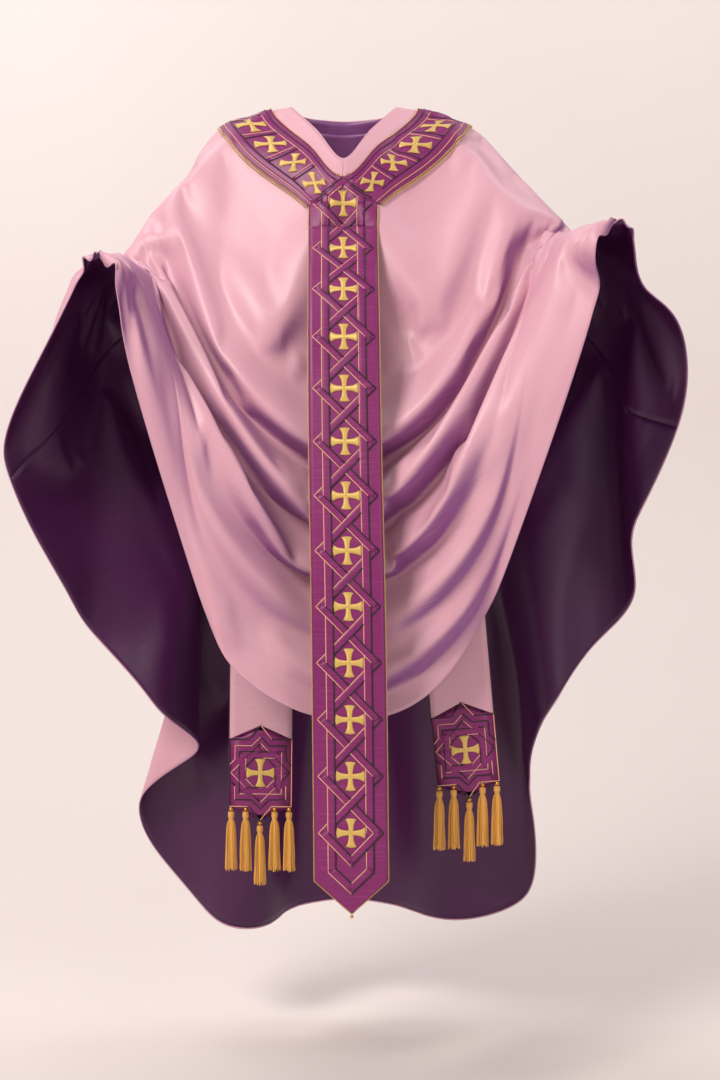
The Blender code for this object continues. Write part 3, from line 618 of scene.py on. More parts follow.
def flatGrid(name, columns, rows):
    grid = bmesh.new()
    bmesh.ops.create_grid(grid, x_segments=columns, y_segments=rows, size=0.5)
    bmesh.ops.translate(grid, vec=(0.5, 0.5, 0), verts=grid.verts)
    data = bpy.data.meshes.new(name)
    grid.to_mesh(data)
    grid.free()
    return data


def reshape(mesh, change):
    co = np.empty(len(mesh.vertices) * 3, np.float32)
    mesh.vertices.foreach_get("co", co)
    co = co.reshape(-1, 3).astype(float)
    mesh.vertices.foreach_set("co", np.asarray(change(co), np.float32).ravel())
    return mesh


def weld(mesh, distance=1e-6):
    work = bmesh.new()
    work.from_mesh(mesh)
    bmesh.ops.remove_doubles(work, verts=work.verts, dist=distance)
    bmesh.ops.dissolve_degenerate(work, edges=work.edges, dist=distance)
    work.to_mesh(mesh)
    work.free()
    return mesh


def addPiece(name, mesh, material, body, nodes=(), thickness=0.0, blendOver=None, sharp=40):
    mesh.name = name
    mesh.materials.clear()
    mesh.materials.append(material)
    mesh.shade_smooth()
    if sharp:
        mesh.set_sharp_from_angle(angle=math.radians(sharp))
    piece = bpy.data.objects.new(name, mesh)
    scene.collection.objects.link(piece)
    if thickness:
        thick = piece.modifiers.new("thickness", "SOLIDIFY")
        thick.thickness, thick.offset = thickness, 1
    if blendOver:
        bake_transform(piece)
    else:
        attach(piece, body)
    if nodes:
        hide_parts(*nodes)
    return piece


def cordMesh(name, paths, radius, resolution=1, closed=False):
    # round cords along paths of points, as one mesh, with "run" the length along each
    curve = bpy.data.curves.new(name, "CURVE")
    curve.dimensions = "3D"
    curve.bevel_depth, curve.bevel_resolution = radius, resolution
    curve.use_fill_caps = not closed
    for path in paths:
        line = curve.splines.new("POLY")
        line.points.add(len(path) - 1)
        line.use_cyclic_u = closed
        line.points.foreach_set("co", np.array([(*p, 1.0) for p in path], np.float32).ravel())
    holder = bpy.data.objects.new(name, curve)
    scene.collection.objects.link(holder)
    graph = bpy.context.evaluated_depsgraph_get()
    mesh = bpy.data.meshes.new_from_object(holder.evaluated_get(graph))
    bpy.data.objects.remove(holder)
    bpy.data.curves.remove(curve)
    return weld(mesh, 1e-7)


def addRun(mesh, values):
    layer = mesh.attributes.get("run") or mesh.attributes.new("run", "FLOAT", "POINT")
    layer.data.foreach_set("value", np.asarray(values, np.float32))


def coordinates(mesh):
    co = np.empty(len(mesh.vertices) * 3, np.float32)
    mesh.vertices.foreach_get("co", co)
    return co.reshape(-1, 3).astype(float)


def joined(name, meshes):
    work = bmesh.new()
    for mesh in meshes:
        work.from_mesh(mesh)
        bpy.data.meshes.remove(mesh)
    data = bpy.data.meshes.new(name)
    work.to_mesh(data)
    work.free()
    return data


def stepped(path, step):
    # the same path with a point every step or so
    found = [np.array(path[0], float)]
    for a, b in zip(path, path[1:]):
        a, b = np.array(a, float), np.array(b, float)
        count = max(1, math.ceil(np.linalg.norm(b - a) / step))
        found += [a + (b - a) * i / count for i in range(1, count + 1)]
    return found


def twistedCord(name, path, radius, pitch, height):
    # two plies twisted round each other along a flat path
    points = np.array(stepped([(*p[:2], height) for p in path], pitch / 6))
    ahead = np.gradient(points, axis=0)
    ahead = unit(ahead)
    side = np.stack([-ahead[:, 1], ahead[:, 0], np.zeros(len(ahead))], axis=1)
    lengths = np.concatenate([[0], np.cumsum(np.linalg.norm(np.diff(points, axis=0), axis=1))])
    plies = []
    for ply in (0, math.pi):
        turn = lengths / pitch * math.tau + ply
        plies.append(points + radius * 0.48 * (np.cos(turn)[:, None] * side + np.sin(turn)[:, None] * np.array((0, 0, 1.0))))
    mesh = cordMesh(name, plies, radius * 0.58, 0)
    co = coordinates(mesh)
    addRun(mesh, co[:, 0] + co[:, 1])
    return mesh


# The chasuble's own cloth

def paintShotAndShade(mesh):
    # painted shade: the silk turns violet where it faces away from the key light, partly the shot silk's own violet
    # warp and partly shade
    normals = np.empty(len(mesh.vertices) * 3, np.float32)
    mesh.vertices.foreach_get("normal", normals)
    normals = normals.reshape(-1, 3)
    facing = normals @ unit(np.array((-0.35, -0.62, 0.70)))
    share = np.clip((0.70 - facing) / 0.80, 0, 1)
    # the 'turned' attribute is painted shade: how far each point faces away from the key light
    layer = mesh.attributes.new("turned", "FLOAT", "POINT")
    layer.data.foreach_set("value", (0.85 * share * share * (3 - 2 * share)).astype(np.float32))


def clothPanel(name, first, last, top, bottom, height, thickness, material, nodes, columns=88, rows=150):
    mesh = flatGrid(name, columns, rows)

    def place(u, v):
        angle, down = first + (last - first) * u, top + (bottom - top) * v
        points, normals = clothSpot(angle, down)
        return points + height * normals, normals

    layOn(mesh, place, lambda co: flatSpot(first + (last - first) * co[:, 0], top + (bottom - top) * co[:, 1]))
    paintShotAndShade(mesh)
    piece = addPiece(name, mesh, material, "chasuble", nodes, thickness, sharp=0)
    return piece


panels = {"frontLeft": (0, 70), "backLeft": (70, 140), "backRight": (-140, -70), "frontRight": (-70, 0)}
for half, (first, last) in panels.items():
    node = half.replace("Left", "_left").replace("Right", "_right")
    clothPanel(f"{half}Silk", first + 0.03, last - 0.03, 0.0, 1.0, 0.0, clothLook["silkThickness"],
               roseSilk, [f"{node}_silk"])
    clothPanel(f"{half}Lining", first, last, 0.031, 0.9985, clothLook["liningHeight"], clothLook["liningThickness"],
               purpleLining, [f"{node}_lining"])
print("silk and lining panels are laid")

edgeLook = {"hemRoll": 0.0013, "neckRoll": 0.0015, "facingShare": 0.03}


def ringRoll(name, down, height, radius, steps, nodes=()):
    angles = np.linspace(-140, 140, steps, endpoint=False)
    points, normals = clothSpot(angles, np.full(steps, down))
    mesh = cordMesh(name, [points + height * normals], radius, 1, closed=True)
    layer = mesh.uv_layers.new(name="flat") if not mesh.uv_layers else mesh.uv_layers[0]
    layer.name = "flat"
    paintShotAndShade(mesh)
    return addPiece(name, mesh, roseSilk, "chasuble", nodes, sharp=0)


ringRoll("hemRoll", 1.0, 0.0001, edgeLook["hemRoll"], 900)
ringRoll("neckRoll", 0.0, 0.0, edgeLook["neckRoll"], 240)

facing = flatGrid("neckFacing", 200, 4)
layOn(facing, lambda u, v: (lambda p, n: (p - 0.0016 * n, n))(*clothSpot(-140 + 280 * u, edgeLook["facingShare"] * v)),
      lambda co: flatSpot(-140 + 280 * co[:, 0], edgeLook["facingShare"] * co[:, 1]))
weld(facing, 1e-6)
paintShotAndShade(facing)
neckFacing = addPiece("neckFacing", facing, roseSilk, "chasuble", ["neck_facing"], 0.0008, sharp=0)
print("edges are turned")


# The yoke: two bands that meet in a V at the front and the back, and pass over the shoulders

orphreyLook = {
    "half": 0.054, "pitch": 0.0833, "firstCross": 0.245, "cornerBelow": 0.071, "tipBelow": 0.118, "crosses": 13,
    "yokeInner": ((0.0, 0.190), (0.135, 0.049)), "yokeOuter": ((0.054, 0.245), (0.215, 0.078)),
    "strap": (0.0225, 0.0340), "vertex": 0.048, "innerVertex": 0.0332,
    "lineRadius": 0.00082, "blackRadius": 0.0011, "pipingRadius": 0.0011, "pipingPitch": 0.0072,
}
pillarTop = orphreyLook["firstCross"] + orphreyLook["pitch"] / 2
lastCross = orphreyLook["firstCross"] + 12 * orphreyLook["pitch"]
pillarCorner, pillarTip = lastCross + orphreyLook["cornerBelow"], lastCross + orphreyLook["tipBelow"]

crossLook = {
    "half": 0.0214, "waist": 0.0032, "end": 0.0080, "flare": 3.4, "lift": 0.0012, "outline": 0.0005,
}


def makeCross(x, y, lean, half, base=0.0):
    # a padded satin-stitch cross: four flared arms and a couched cord round the edge
    arm = flatGrid("arm", 8, 10)
    waist, end = crossLook["waist"], crossLook["end"] * half / crossLook["half"]

    def shape(co):
        s, t = co[:, 0] * 2 - 1, co[:, 1]
        wide = waist + (end - waist) * t ** crossLook["flare"]
        out = half * t * (1 - 0.05 * s * s * t)
        lift = crossLook["lift"] * np.sqrt(np.clip(1 - s ** 2, 0, 1)) * np.clip(1.02 - t ** 10, 0, 1) ** 0.5
        return np.stack([s * wide, out, base + 0.0002 + lift], axis=1)

    reshape(arm, shape)
    addRun(arm, coordinates(arm)[:, 1])
    work = bmesh.new()
    for turn in range(4):
        piece = arm.copy()
        piece.transform(Matrix.Translation((x, y, 0))
                        @ Matrix.Rotation(turn * math.pi / 2 + math.radians(lean), 4, "Z"))
        work.from_mesh(piece)
        bpy.data.meshes.remove(piece)
    bpy.data.meshes.remove(arm)
    data = bpy.data.meshes.new("cross")
    work.to_mesh(data)
    work.free()
    # the cord round the edge, its corners at the arms' ends
    edge = []
    for turn in range(4):
        spin = Matrix.Rotation(turn * math.pi / 2 + math.radians(lean), 3, "Z")
        for s, ts in ((1, np.linspace(0.14, 1, 7)), (-1, np.linspace(1, 0.14, 7))):
            for t in ts:
                wide = waist + (end - waist) * t ** crossLook["flare"]
                spot = spin @ Vector((s * wide, half * t * (1 - 0.05 * t), 0))
                edge.append((x + spot.x, y + spot.y, base + 0.0003))
    return data, edge


def crossesOn(name, places, half, place, base, body, nodes, blendOver=None):
    meshes, edges = [], []
    for x, y, lean in places:
        mesh, edge = makeCross(x, y, lean, half, base)
        meshes.append(mesh)
        edges.append(edge[::-1])
    stitched = layOn(joined(name, meshes), place)
    addPiece(name, stitched, goldSatin, body, nodes, 0.0004, blendOver, sharp=50)
    outline = cordMesh(f"{name}Outline", edges, crossLook["outline"], 0, closed=True)
    co = coordinates(outline)
    addRun(outline, (co[:, 0] + co[:, 1]) * 0.7)
    layOn(outline, place)
    addPiece(f"{name}Outline", outline, goldCord, body, (), 0, blendOver, sharp=0)


def linesOn(name, lines, place, radius, material, body, blendOver=None, flatten=0.75):
    mesh = cordMesh(name, [stepped(line, 0.012) for line in lines], radius, 1)
    co = coordinates(mesh)
    addRun(mesh, (co[:, 0] + co[:, 1]) * 0.7)
    layOn(mesh, place)
    return addPiece(name, mesh, material, body, (), 0, blendOver, sharp=0)


def strip(start, end, half, lift, bulge=0.0002, cells=None):
    # one flat strap of couched silk; lift(share) is its height along it
    start, end = np.array(start, float), np.array(end, float)
    length = np.linalg.norm(end - start)
    ahead = (end - start) / length
    side = np.array((-ahead[1], ahead[0]))
    mesh = flatGrid("strip", 4, cells or max(2, math.ceil(length / 0.01)))

    def shape(co):
        s, t = co[:, 0] * 2 - 1, co[:, 1]
        flatPlace = start + (end - start) * t[:, None] - side * (s * half)[:, None]
        return np.column_stack([flatPlace, lift(t) + bulge * (1 - s ** 2)])

    reshape(mesh, shape)
    addRun(mesh, coordinates(mesh)[:, 1])
    return mesh


def lerp(a, b, share):
    return tuple(p + (q - p) * share for p, q in zip(a, b))


def throatPlace(back, height=yokeLook["faceHeight"]):
    def place(x, y):
        points, normals = throatSpot(-x if back else x, y, back)
        return points + height * normals, normals
    return place


def armEdges(side, back):
    # ray angles along an arm's inner and outer edge, evenly by true length from the notch to the shoulder seam
    edges = []
    for first, length in ((0.0, yokeLook["inner"]), (yokeLook["corner"][back], yokeLook["outer"])):
        turn = np.linspace(first, 70, 160)
        angle = side * (140 - turn if back else turn)
        points, _ = clothSpot(angle, reachDown(angle, np.full(160, length)))
        run = np.concatenate([[0], np.cumsum(np.linalg.norm(np.diff(points, axis=0), axis=1))])
        edges.append((turn, run / run[-1], run[-1]))
    return edges


def armPlace(side, back, height=yokeLook["faceHeight"]):
    # x is the length along the arm from the notch, and y the distance from its inner edge
    (innerTurn, innerRun, innerLength), (outerTurn, outerRun, outerLength) = armEdges(side, back)
    length = (innerLength + outerLength) / 2
    width = yokeLook["outer"] - yokeLook["inner"]

    def place(x, y):
        share, across = np.clip(np.abs(x) / length, 0, 1), y / width
        inner, outer = np.interp(share, innerRun, innerTurn), np.interp(share, outerRun, outerTurn)
        turn = inner + (outer - inner) * across
        angle = side * (140 - turn if back else turn)
        points, normals = clothSpot(angle, reachDown(angle, yokeLook["inner"] + y))
        return points + height * normals, normals
    return place, length, width


def makeYokeBand(half, side):
    fronts, frontLength, width = armPlace(side, False, yokeLook["faceHeight"] - yokeLook["thickness"])
    backs, backLength, _ = armPlace(side, True, yokeLook["faceHeight"] - yokeLook["thickness"])
    total = frontLength + backLength
    mesh = flatGrid(f"yokeBand{half}", 150, 20)

    def place(u, v):
        run, across = u * total, v * width
        front, back = fronts(np.minimum(run, frontLength), across), backs(np.maximum(total - run, 0), across)
        over = (run > frontLength)[:, None]
        return np.where(over, back[0], front[0]), np.where(over, back[1], front[1])

    layOn(mesh, place, lambda co: np.column_stack([side * co[:, 0] * total, co[:, 1] * width]))
    if side < 0:
        mesh.flip_normals()
    piece = addPiece(f"yokeBand{half}", mesh, purpleSilk, "chasuble", [f"yoke_band_{half.lower()}"],
                     yokeLook["thickness"], sharp=0)


def makeThroat(back):
    # the stiff piece under the V, between the arms and the pillar
    face = "back" if back else "front"
    half, first = orphreyLook["half"], orphreyLook["firstCross"]
    notch = yokeLook["alongAtNeck"][back] + yokeLook["inner"] - 0.001
    mesh = flatGrid(f"{face}Throat", 36, 24)

    def shape(co):
        x = (co[:, 0] * 2 - 1) * half
        top = notch + (first - notch) * np.abs(x) / half
        return np.column_stack([x, top + (pillarTop - top) * co[:, 1], 0 * x])

    reshape(mesh, shape)
    layOn(mesh, throatPlace(back, yokeLook["faceHeight"] - yokeLook["thickness"] - 0.0002))
    piece = addPiece(mesh.name, mesh, purpleSilk, "chasuble", (), yokeLook["thickness"], sharp=0)


def onPlace(name, mesh, material, place, nodes=(), thickness=0.0):
    return addPiece(name, layOn(mesh, place), material, "chasuble", nodes, thickness, sharp=0)


def makeYokeArm(side, back):
    face, half = "back" if back else "front", "Left" if side > 0 else "Right"
    place, length, width = armPlace(side, back)
    sign = side * (-1 if back else 1)
    near, far = yokeLook["border"]
    light, black, straps, crosses = [], [], [], []

    def at(x, y, height=0.0003):
        return (sign * x, y, height)

    end = length - 0.0008
    start = 0.006 if back else 0.010
    black += [[at(start, near), at(end, near)], [at(start + 0.02, width - far), at(end, width - far)]]
    light += [[at(start, far), at(end, far)], [at(0.001, width - near), at(end, width - near)]]
    for low, high in ((near, far), (width - far, width - near)):
        straps.append(strip(at(0.002, (low + high) / 2)[:2], at(end, (low + high) / 2)[:2], (high - low) * 0.45,
                            lambda t: 0 * t + 0.00015))
    bays, first, bay = yokeLook["crosses"][back], yokeLook["firstBar"][back], yokeLook["bay"]
    for bar in range(bays + 1):
        x = first + bay * bar
        if x + 0.006 > end:
            continue
        left, right = (x - 0.0042, x + 0.0042) if sign > 0 else (x + 0.0042, x - 0.0042)
        light.append([at(left, far), at(left, width - far)])
        black.append([at(right, far), at(right, width - far)])
        straps.append(strip(at(x, far)[:2], at(x, width - far)[:2], 0.0036, lambda t: 0 * t + 0.0001))
    for k in range(bays):
        x, y = first + bay * (k + 0.5), width / 2
        (here, along, across), _ = place(np.array((x, x + 0.005, x)), np.array((y, y, y + 0.005)))
        upright = math.degrees(math.atan2(across[2] - here[2], along[2] - here[2]))
        crosses.append((sign * x, y, sign * upright))
    name = f"{face}Yoke{half}"
    onPlace(f"{name}Straps", joined("straps", straps), purpleSilk, place, (), 0.0003)
    linesOn(f"{name}PinkLines", light, place, orphreyLook["lineRadius"], pinkGoldThread, "chasuble")
    linesOn(f"{name}BlackLines", black, place, orphreyLook["blackRadius"], blackThread, "chasuble")
    cords = [twistedCord("piping", [at(0.001, y)[:2], at(end, y)[:2]], orphreyLook["pipingRadius"],
                         orphreyLook["pipingPitch"], 0.0002) for y in (0.0, width - 0.001, width + 0.0028)]
    onPlace(f"{name}Piping", joined("piping", cords), goldCord, place)
    crossesOn(f"{name}Crosses", crosses, yokeLook["crossHalf"], place, 0.0003, "chasuble",
              [f"{face}_yoke_stitching_{half.lower()}"])


for half, side in (("Left", 1), ("Right", -1)):
    makeYokeBand(half, side)
    for back in (False, True):
        makeYokeArm(side, back)
for back in (False, True):
    makeThroat(back)
    face = "back" if back else "front"
    crossesOn(f"{face}NotchCross", [(0.0, orphreyLook["firstCross"], 0)], crossLook["half"], throatPlace(back), 0.0006,
              "chasuble", [f"{face}_yoke_cross"])
print("yoke is embroidered")


# The pillars

def pillarRoute(back):
    # the pillar's centre line: it leaves the yoke at the cloth and then hangs on its own line
    joint = jointAnchors["back_pillar_swing" if back else "front_pillar_swing"]
    points = [(0, joint.y, joint.z), *pillarRoutes[back]]
    knots = np.concatenate([[pillarTop], pillarTop + np.cumsum(np.linalg.norm(np.diff(points, axis=0), axis=1))])
    along = np.linspace(pillarTop, pillarTip + 0.03, 500)
    line = smoothThrough(knots, points, np.minimum(along, knots[-1]))
    over = along > knots[-1]
    step = unit(line[~over][-1] - line[~over][-2])
    line[over] = line[~over][-1] + (along[over] - knots[-1])[:, None] * step
    atYoke, normal = throatSpot(np.array([0.0]), np.array([pillarTop]), back)
    shift = (atYoke + 0.0016 * normal)[0] - line[0]
    shift[0] = 0
    line = line + shift * (np.exp(-((along - pillarTop) / 0.09) ** 2))[:, None]
    # it lies on the cloth wherever the cloth stands further out
    sign = 1 if back else -1
    sunk = np.zeros(len(along))
    for n in np.flatnonzero(along < pillarTop + 0.35)[::3]:
        for x in (-0.052, -0.026, 0.0, 0.026, 0.052):
            spot = frontTree.ray_cast(Vector((line[n, 0] + x, sign, line[n, 2])), Vector((0, -sign, 0)))[0]
            if spot:
                sunk[n] = max(sunk[n], sign * (spot.y - line[n, 1]) + 0.003)
    sunk = np.array([sunk[max(n - 14, 0):n + 15].max() for n in range(len(sunk))])
    sunk = np.convolve(np.pad(sunk, 20, mode="edge"), np.hanning(43)[1:-1] / np.hanning(43).sum(), mode="valid")
    line[:, 1] += sign * sunk
    ahead = unit(np.gradient(line, axis=0))
    normals = np.cross(ahead, np.array((-1.0 if back else 1.0, 0, 0)))
    return along, line, unit(normals)


def pillarPlace(back, height=0.0):
    along, line, normals = pillarRoute(back)

    def place(x, y):
        point = np.stack([np.interp(y, along, line[:, k]) for k in range(3)], axis=1)
        normal = unit(np.stack([np.interp(y, along, normals[:, k]) for k in range(3)], axis=1))
        point[:, 0] += -x if back else x
        return point + height * normal, normal
    return place


def interlace():
    # edge lines and straps of the pillar's strapwork, from the first cross to the tip; each is clipped to the pillar
    light, black, straps = [], [], []
    vertex, inner = orphreyLook["vertex"], orphreyLook["innerVertex"]
    near, far = orphreyLook["strap"]
    pitch = orphreyLook["pitch"]
    slope = pitch / (vertex + inner)
    over, level, under = 0.00065, 0.00035, 0.00015
    for k in range(12):
        y0 = orphreyLook["firstCross"] + pitch * k

        def falling(x, offset, y0=y0):  # a line of the strap that falls to the right
            return (x, y0 + slope * (x + offset), over)

        def rising(x, offset, y0=y0):
            return (x, y0 + slope * (offset - x), level)

        light += [[falling(-vertex, vertex), falling(-(vertex - inner) / 2, vertex)], [falling(0, vertex), falling(inner, vertex)]]
        black += [[falling(-inner, inner), falling(0, inner)], [falling((vertex - inner) / 2, inner), falling(vertex, inner)]]
        light += [[rising(near, inner), rising(-near, inner)], [rising(-far, inner), rising(-vertex, inner)]]
        black += [[rising(vertex, vertex), rising(far, vertex)], [rising(near, vertex), rising(-near, vertex)]]
        middle = (vertex + inner) / 2
        half = 0.0047
        straps.append(strip((-middle, y0), (middle, y0 + pitch), half,
                            lambda t: np.where(np.abs(t - 0.5) < 0.12, under, over - 0.0003), cells=24))
        straps.append(strip((middle, y0), (-middle, y0 + pitch), half,
                            lambda t: np.where(np.abs(t - 0.5) < 0.2, level, under - 0.0001), cells=24))
        for x, gap, shade in ((-far, (vertex - far, inner - far), light), (-near, (vertex - near, inner - near), black),
                              (near, (vertex + near, inner + near), light), (far, (vertex + far, inner + far), black)):
            start, end = y0 + slope * gap[1], y0 + slope * gap[0]
            shade.append([(x, max(y0, y0 - 0.001), level), (x, start, level)])
            shade.append([(x, end, level), (x, y0 + pitch, level)])
    # the arms' inner straps cross above the first cross and turn down beside it
    first = orphreyLook["firstCross"]
    for side in (-1, 1):
        inner0, outer0 = side * near, side * far
        shades = (black, light) if side < 0 else (light, black)
        lift = over if side < 0 else under
        crossing = first - 0.034
        shades[1 if side < 0 else 0].append([(inner0, first, level), (inner0, first - 0.011, level),
                                             (side * 0.002, first - 0.029, lift + 0.0003)])
        shades[0 if side < 0 else 1].append([(outer0, first, level), (outer0, first - 0.018, level),
                                             (side * 0.002, first - 0.041, lift + 0.0003)])
        middle = side * (near + far) / 2
        straps.append(strip((-side * 0.012, first - 0.045), (middle, first - 0.0145), 0.0050,
                            lambda t, lift=lift: 0 * t + lift, cells=8))
        straps.append(strip((middle, first - 0.0145), (middle, first), 0.0052, lambda t: 0 * t + 0.0002, cells=4))
    # below the last cross the straps close in a point
    strapEnd, low = lastCross + 0.058, lastCross + 0.053
    light += [[(-vertex, lastCross, over), (0, lastCross + slope * vertex, over)],
              [(inner, lastCross, over), (0, lastCross + slope * inner, over)]]
    black += [[(vertex, lastCross, over), (0, lastCross + slope * vertex, over)],
              [(-inner, lastCross, over), (0, lastCross + slope * inner, over)]]
    for side in (-1, 1):
        straps.append(strip((side * (vertex + inner) / 2, lastCross), (0, lastCross + slope * (vertex + inner) / 2), 0.0047,
                            lambda t: 0 * t + 0.00035, cells=8))
        (light if side < 0 else black).extend([
            [(side * far, lastCross + 0.014, level), (side * far, strapEnd, level), (0, lastCross + 0.090, level)]])
        (black if side < 0 else light).extend([
            [(side * near, lastCross + 0.026, level), (side * near, low, level), (0, lastCross + 0.0742, level)]])
        middle = side * (near + far) / 2
        straps.append(strip((middle, orphreyLook["firstCross"]), (middle, lastCross + 0.0555), 0.0052,
                            lambda t: 0 * t + 0.0002, cells=120))
        straps.append(strip((middle, lastCross + 0.0555), (0, lastCross + 0.082), 0.0052, lambda t: 0 * t + 0.0002, cells=6))
    return light, black, straps


def clipAbove(lines, y, keepAbove):
    # the part of each line on one side of a level
    kept = []
    for line in lines:
        for a, b in zip(line, line[1:]):
            a, b = np.array(a, float), np.array(b, float)
            if keepAbove:
                inside = (a[1] <= y, b[1] <= y)
            else:
                inside = (a[1] >= y, b[1] >= y)
            if not any(inside):
                continue
            if not all(inside):
                cut = a + (b - a) * (y - a[1]) / (b[1] - a[1])
                a, b = (a, cut) if inside[0] else (cut, b)
            if np.linalg.norm(b - a) > 0.0005:
                kept.append([tuple(a), tuple(b)])
    return kept


def clippedStraps(mesh, y, keepAbove):
    work = bmesh.new()
    work.from_mesh(mesh)
    bmesh.ops.bisect_plane(work, geom=work.verts[:] + work.edges[:] + work.faces[:], plane_co=(0, y, 0),
                           plane_no=(0, 1, 0), clear_outer=keepAbove, clear_inner=not keepAbove)
    data = bpy.data.meshes.new("straps")
    work.to_mesh(data)
    work.free()
    return data


def makePillar(back):
    face = "back" if back else "front"
    body = f"{face}_pillar"
    joint = jointAnchors[f"{face}_pillar_swing"]
    blendOver = (tuple(joint), tuple(joint + Vector((0, 0, -0.09))))
    half = orphreyLook["half"]
    layers = (("backing", 0.0, purpleLining, "purple_lining", 0.0006), ("interlining", 0.0009, canvasCloth, "canvas", 0.0010),
              ("face", 0.0022, purpleSilk, "purple_silk", 0.0006))
    for layer, height, material, slot, thickness in layers:
        mesh = flatGrid(f"{face}Pillar{layer.title()}", 16, 240)
        inset = 0.0008 if layer == "interlining" else 0.0

        def shape(co, inset=inset):
            y = pillarTop + 0.0002 + (pillarTip - inset - pillarTop) * co[:, 1]
            narrow = np.clip((pillarTip - inset - y) / (pillarTip - pillarCorner), 0, 1)
            return np.column_stack([(co[:, 0] * 2 - 1) * (half - inset) * narrow, y, 0 * y])

        reshape(mesh, shape)
        weld(mesh, 1e-6)
        layOn(mesh, pillarPlace(back, height))
        piece = addPiece(mesh.name, mesh, material, body, [f"{face}_pillar_{layer}"], thickness, blendOver, sharp=0)
    place = pillarPlace(back, 0.0029)
    light, black, straps = interlace()
    strapMesh = joined("straps", straps)
    onPillar = layOn(clippedStraps(strapMesh, pillarTop + 0.0003, False), place)
    addPiece(f"{face}PillarStraps", onPillar, purpleSilk, body, [f"{face}_pillar_stitching"], 0.0003,
             blendOver, sharp=0)
    onYoke = clippedStraps(strapMesh, pillarTop, True)
    layOn(onYoke, throatPlace(back))
    addPiece(f"{face}NotchStraps", onYoke, purpleSilk, "chasuble", (), 0.0003, sharp=0)
    bpy.data.meshes.remove(strapMesh)
    for shade, lines, radius, material in (("Pink", light, orphreyLook["lineRadius"], pinkGoldThread),
                                           ("Black", black, orphreyLook["blackRadius"], blackThread)):
        linesOn(f"{face}Pillar{shade}Lines", clipAbove(lines, pillarTop + 0.0003, False), place, radius, material, body,
                blendOver)
        linesOn(f"{face}Notch{shade}Lines", clipAbove(lines, pillarTop, True), throatPlace(back), radius, material,
                "chasuble")
    places = [(0.0, orphreyLook["firstCross"] + orphreyLook["pitch"] * k, 0) for k in range(1, 13)]
    crossesOn(f"{face}PillarCrosses", places, crossLook["half"], place, 0.0003, body, (), blendOver)
    edge = half + orphreyLook["pipingRadius"] * 0.8
    tip = pillarTip + orphreyLook["pipingRadius"] * 1.5
    path = [(edge, pillarTop + 0.001), (edge, pillarCorner), (0, tip), (-edge, pillarCorner), (-edge, pillarTop + 0.001)]
    cord = twistedCord("piping", path, orphreyLook["pipingRadius"], orphreyLook["pipingPitch"], 0.0014)
    layOn(cord, pillarPlace(back, 0.0))
    addPiece(f"{face}PillarPiping", cord, goldCord, body, [f"{face}_pillar_piping"], 0, blendOver, sharp=0)
    stubs = [twistedCord("piping", [(x, orphreyLook["firstCross"] + 0.003), (x, pillarTop + 0.001)],
                         orphreyLook["pipingRadius"], orphreyLook["pipingPitch"], 0.0002) for x in (-edge, edge)]
    onPlace(f"{face}NotchPiping", joined("piping", stubs), goldCord, throatPlace(back))
    low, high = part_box(f"{face}_pillar_bead")
    bead = bmesh.new()
    bmesh.ops.create_uvsphere(bead, u_segments=20, v_segments=14, radius=(high - low).x / 2,
                              matrix=Matrix.Translation((low + high) / 2))
    data = bpy.data.meshes.new("bead")
    bead.to_mesh(data)
    bead.free()
    addPiece(f"{face}PillarBead", data, gilt, body, [f"{face}_pillar_bead"], sharp=0)


makePillar(False)
makePillar(True)
print("pillars are hung")


# The stole

stoleLook = {
    "half": 0.0495,
    "ends": {"left": ((0.142, -0.157, -0.452), (0.199, -0.160, -1.118)),
             "right": ((-0.125, -0.157, -0.452), (-0.132, -0.160, -1.155))},
    "starHeight": 0.107, "starPoint": 0.022, "starNotch": 0.018,
    "tassels": (-0.046, -0.023, 0.0, 0.023, 0.046), "strands": 84,
    "beadRadius": 0.0035, "beadDrop": 0.0043,
}
neckRows = [  # inner and outer edge, from the back of the neck to the chest
    ((0.0, 0.058, -0.028), (0.0, 0.088, -0.088)), ((0.022, 0.054, -0.028), (0.035, 0.084, -0.084)),
    ((0.048, 0.040, -0.029), (0.080, 0.070, -0.075)), ((0.064, 0.004, -0.034), (0.122, 0.020, -0.066)),
    ((0.068, -0.040, -0.058), (0.142, -0.022, -0.084)), ((0.066, -0.082, -0.130), (0.152, -0.055, -0.150)),
    ((0.072, -0.113, -0.215), (0.165, -0.085, -0.215)),
]


def stoleNeck():
    sides = {}
    for name, side in (("left", 1), ("right", -1)):
        top, bottom = (Vector(p) for p in stoleLook["ends"][name])
        across = (bottom - top).cross(Vector((0, 1, 0))).normalized() * stoleLook["half"]
        across = across if across.x * side > 0 else -across
        chest = ((top.x * side - 0.055, -0.142, -0.33), (top.x * side + 0.042, -0.128, -0.33))
        rows = [[(side * x, y, z) for x, y, z in row] for row in (*neckRows, chest)]
        rows.append([tuple(top - across), tuple(top + across)])
        sides[name] = rows
    rows = sides["right"][:0:-1] + sides["left"]
    knots = np.arange(len(rows))
    mesh = flatGrid("stoleNeck", 12, 160)

    def place(u, v):
        spread = smoothThrough(knots, rows, v * (len(rows) - 1))
        points = spread[:, 0] + (spread[:, 1] - spread[:, 0]) * u[:, None]
        later = smoothThrough(knots, rows, np.minimum(v * (len(rows) - 1) + 0.02, len(rows) - 1))
        sooner = smoothThrough(knots, rows, np.maximum(v * (len(rows) - 1) - 0.02, 0))
        ahead = later.mean(axis=1) - sooner.mean(axis=1)
        return points, unit(np.cross(spread[:, 1] - spread[:, 0], ahead))

    layOn(mesh, place, lambda co: np.column_stack([co[:, 0] * 0.1, co[:, 1] * 1.3]))
    paintShotAndShade(mesh)
    piece = addPiece("stoleNeck", mesh, roseSilk, "chasuble", ["stole_neck"], 0.0024, sharp=0)


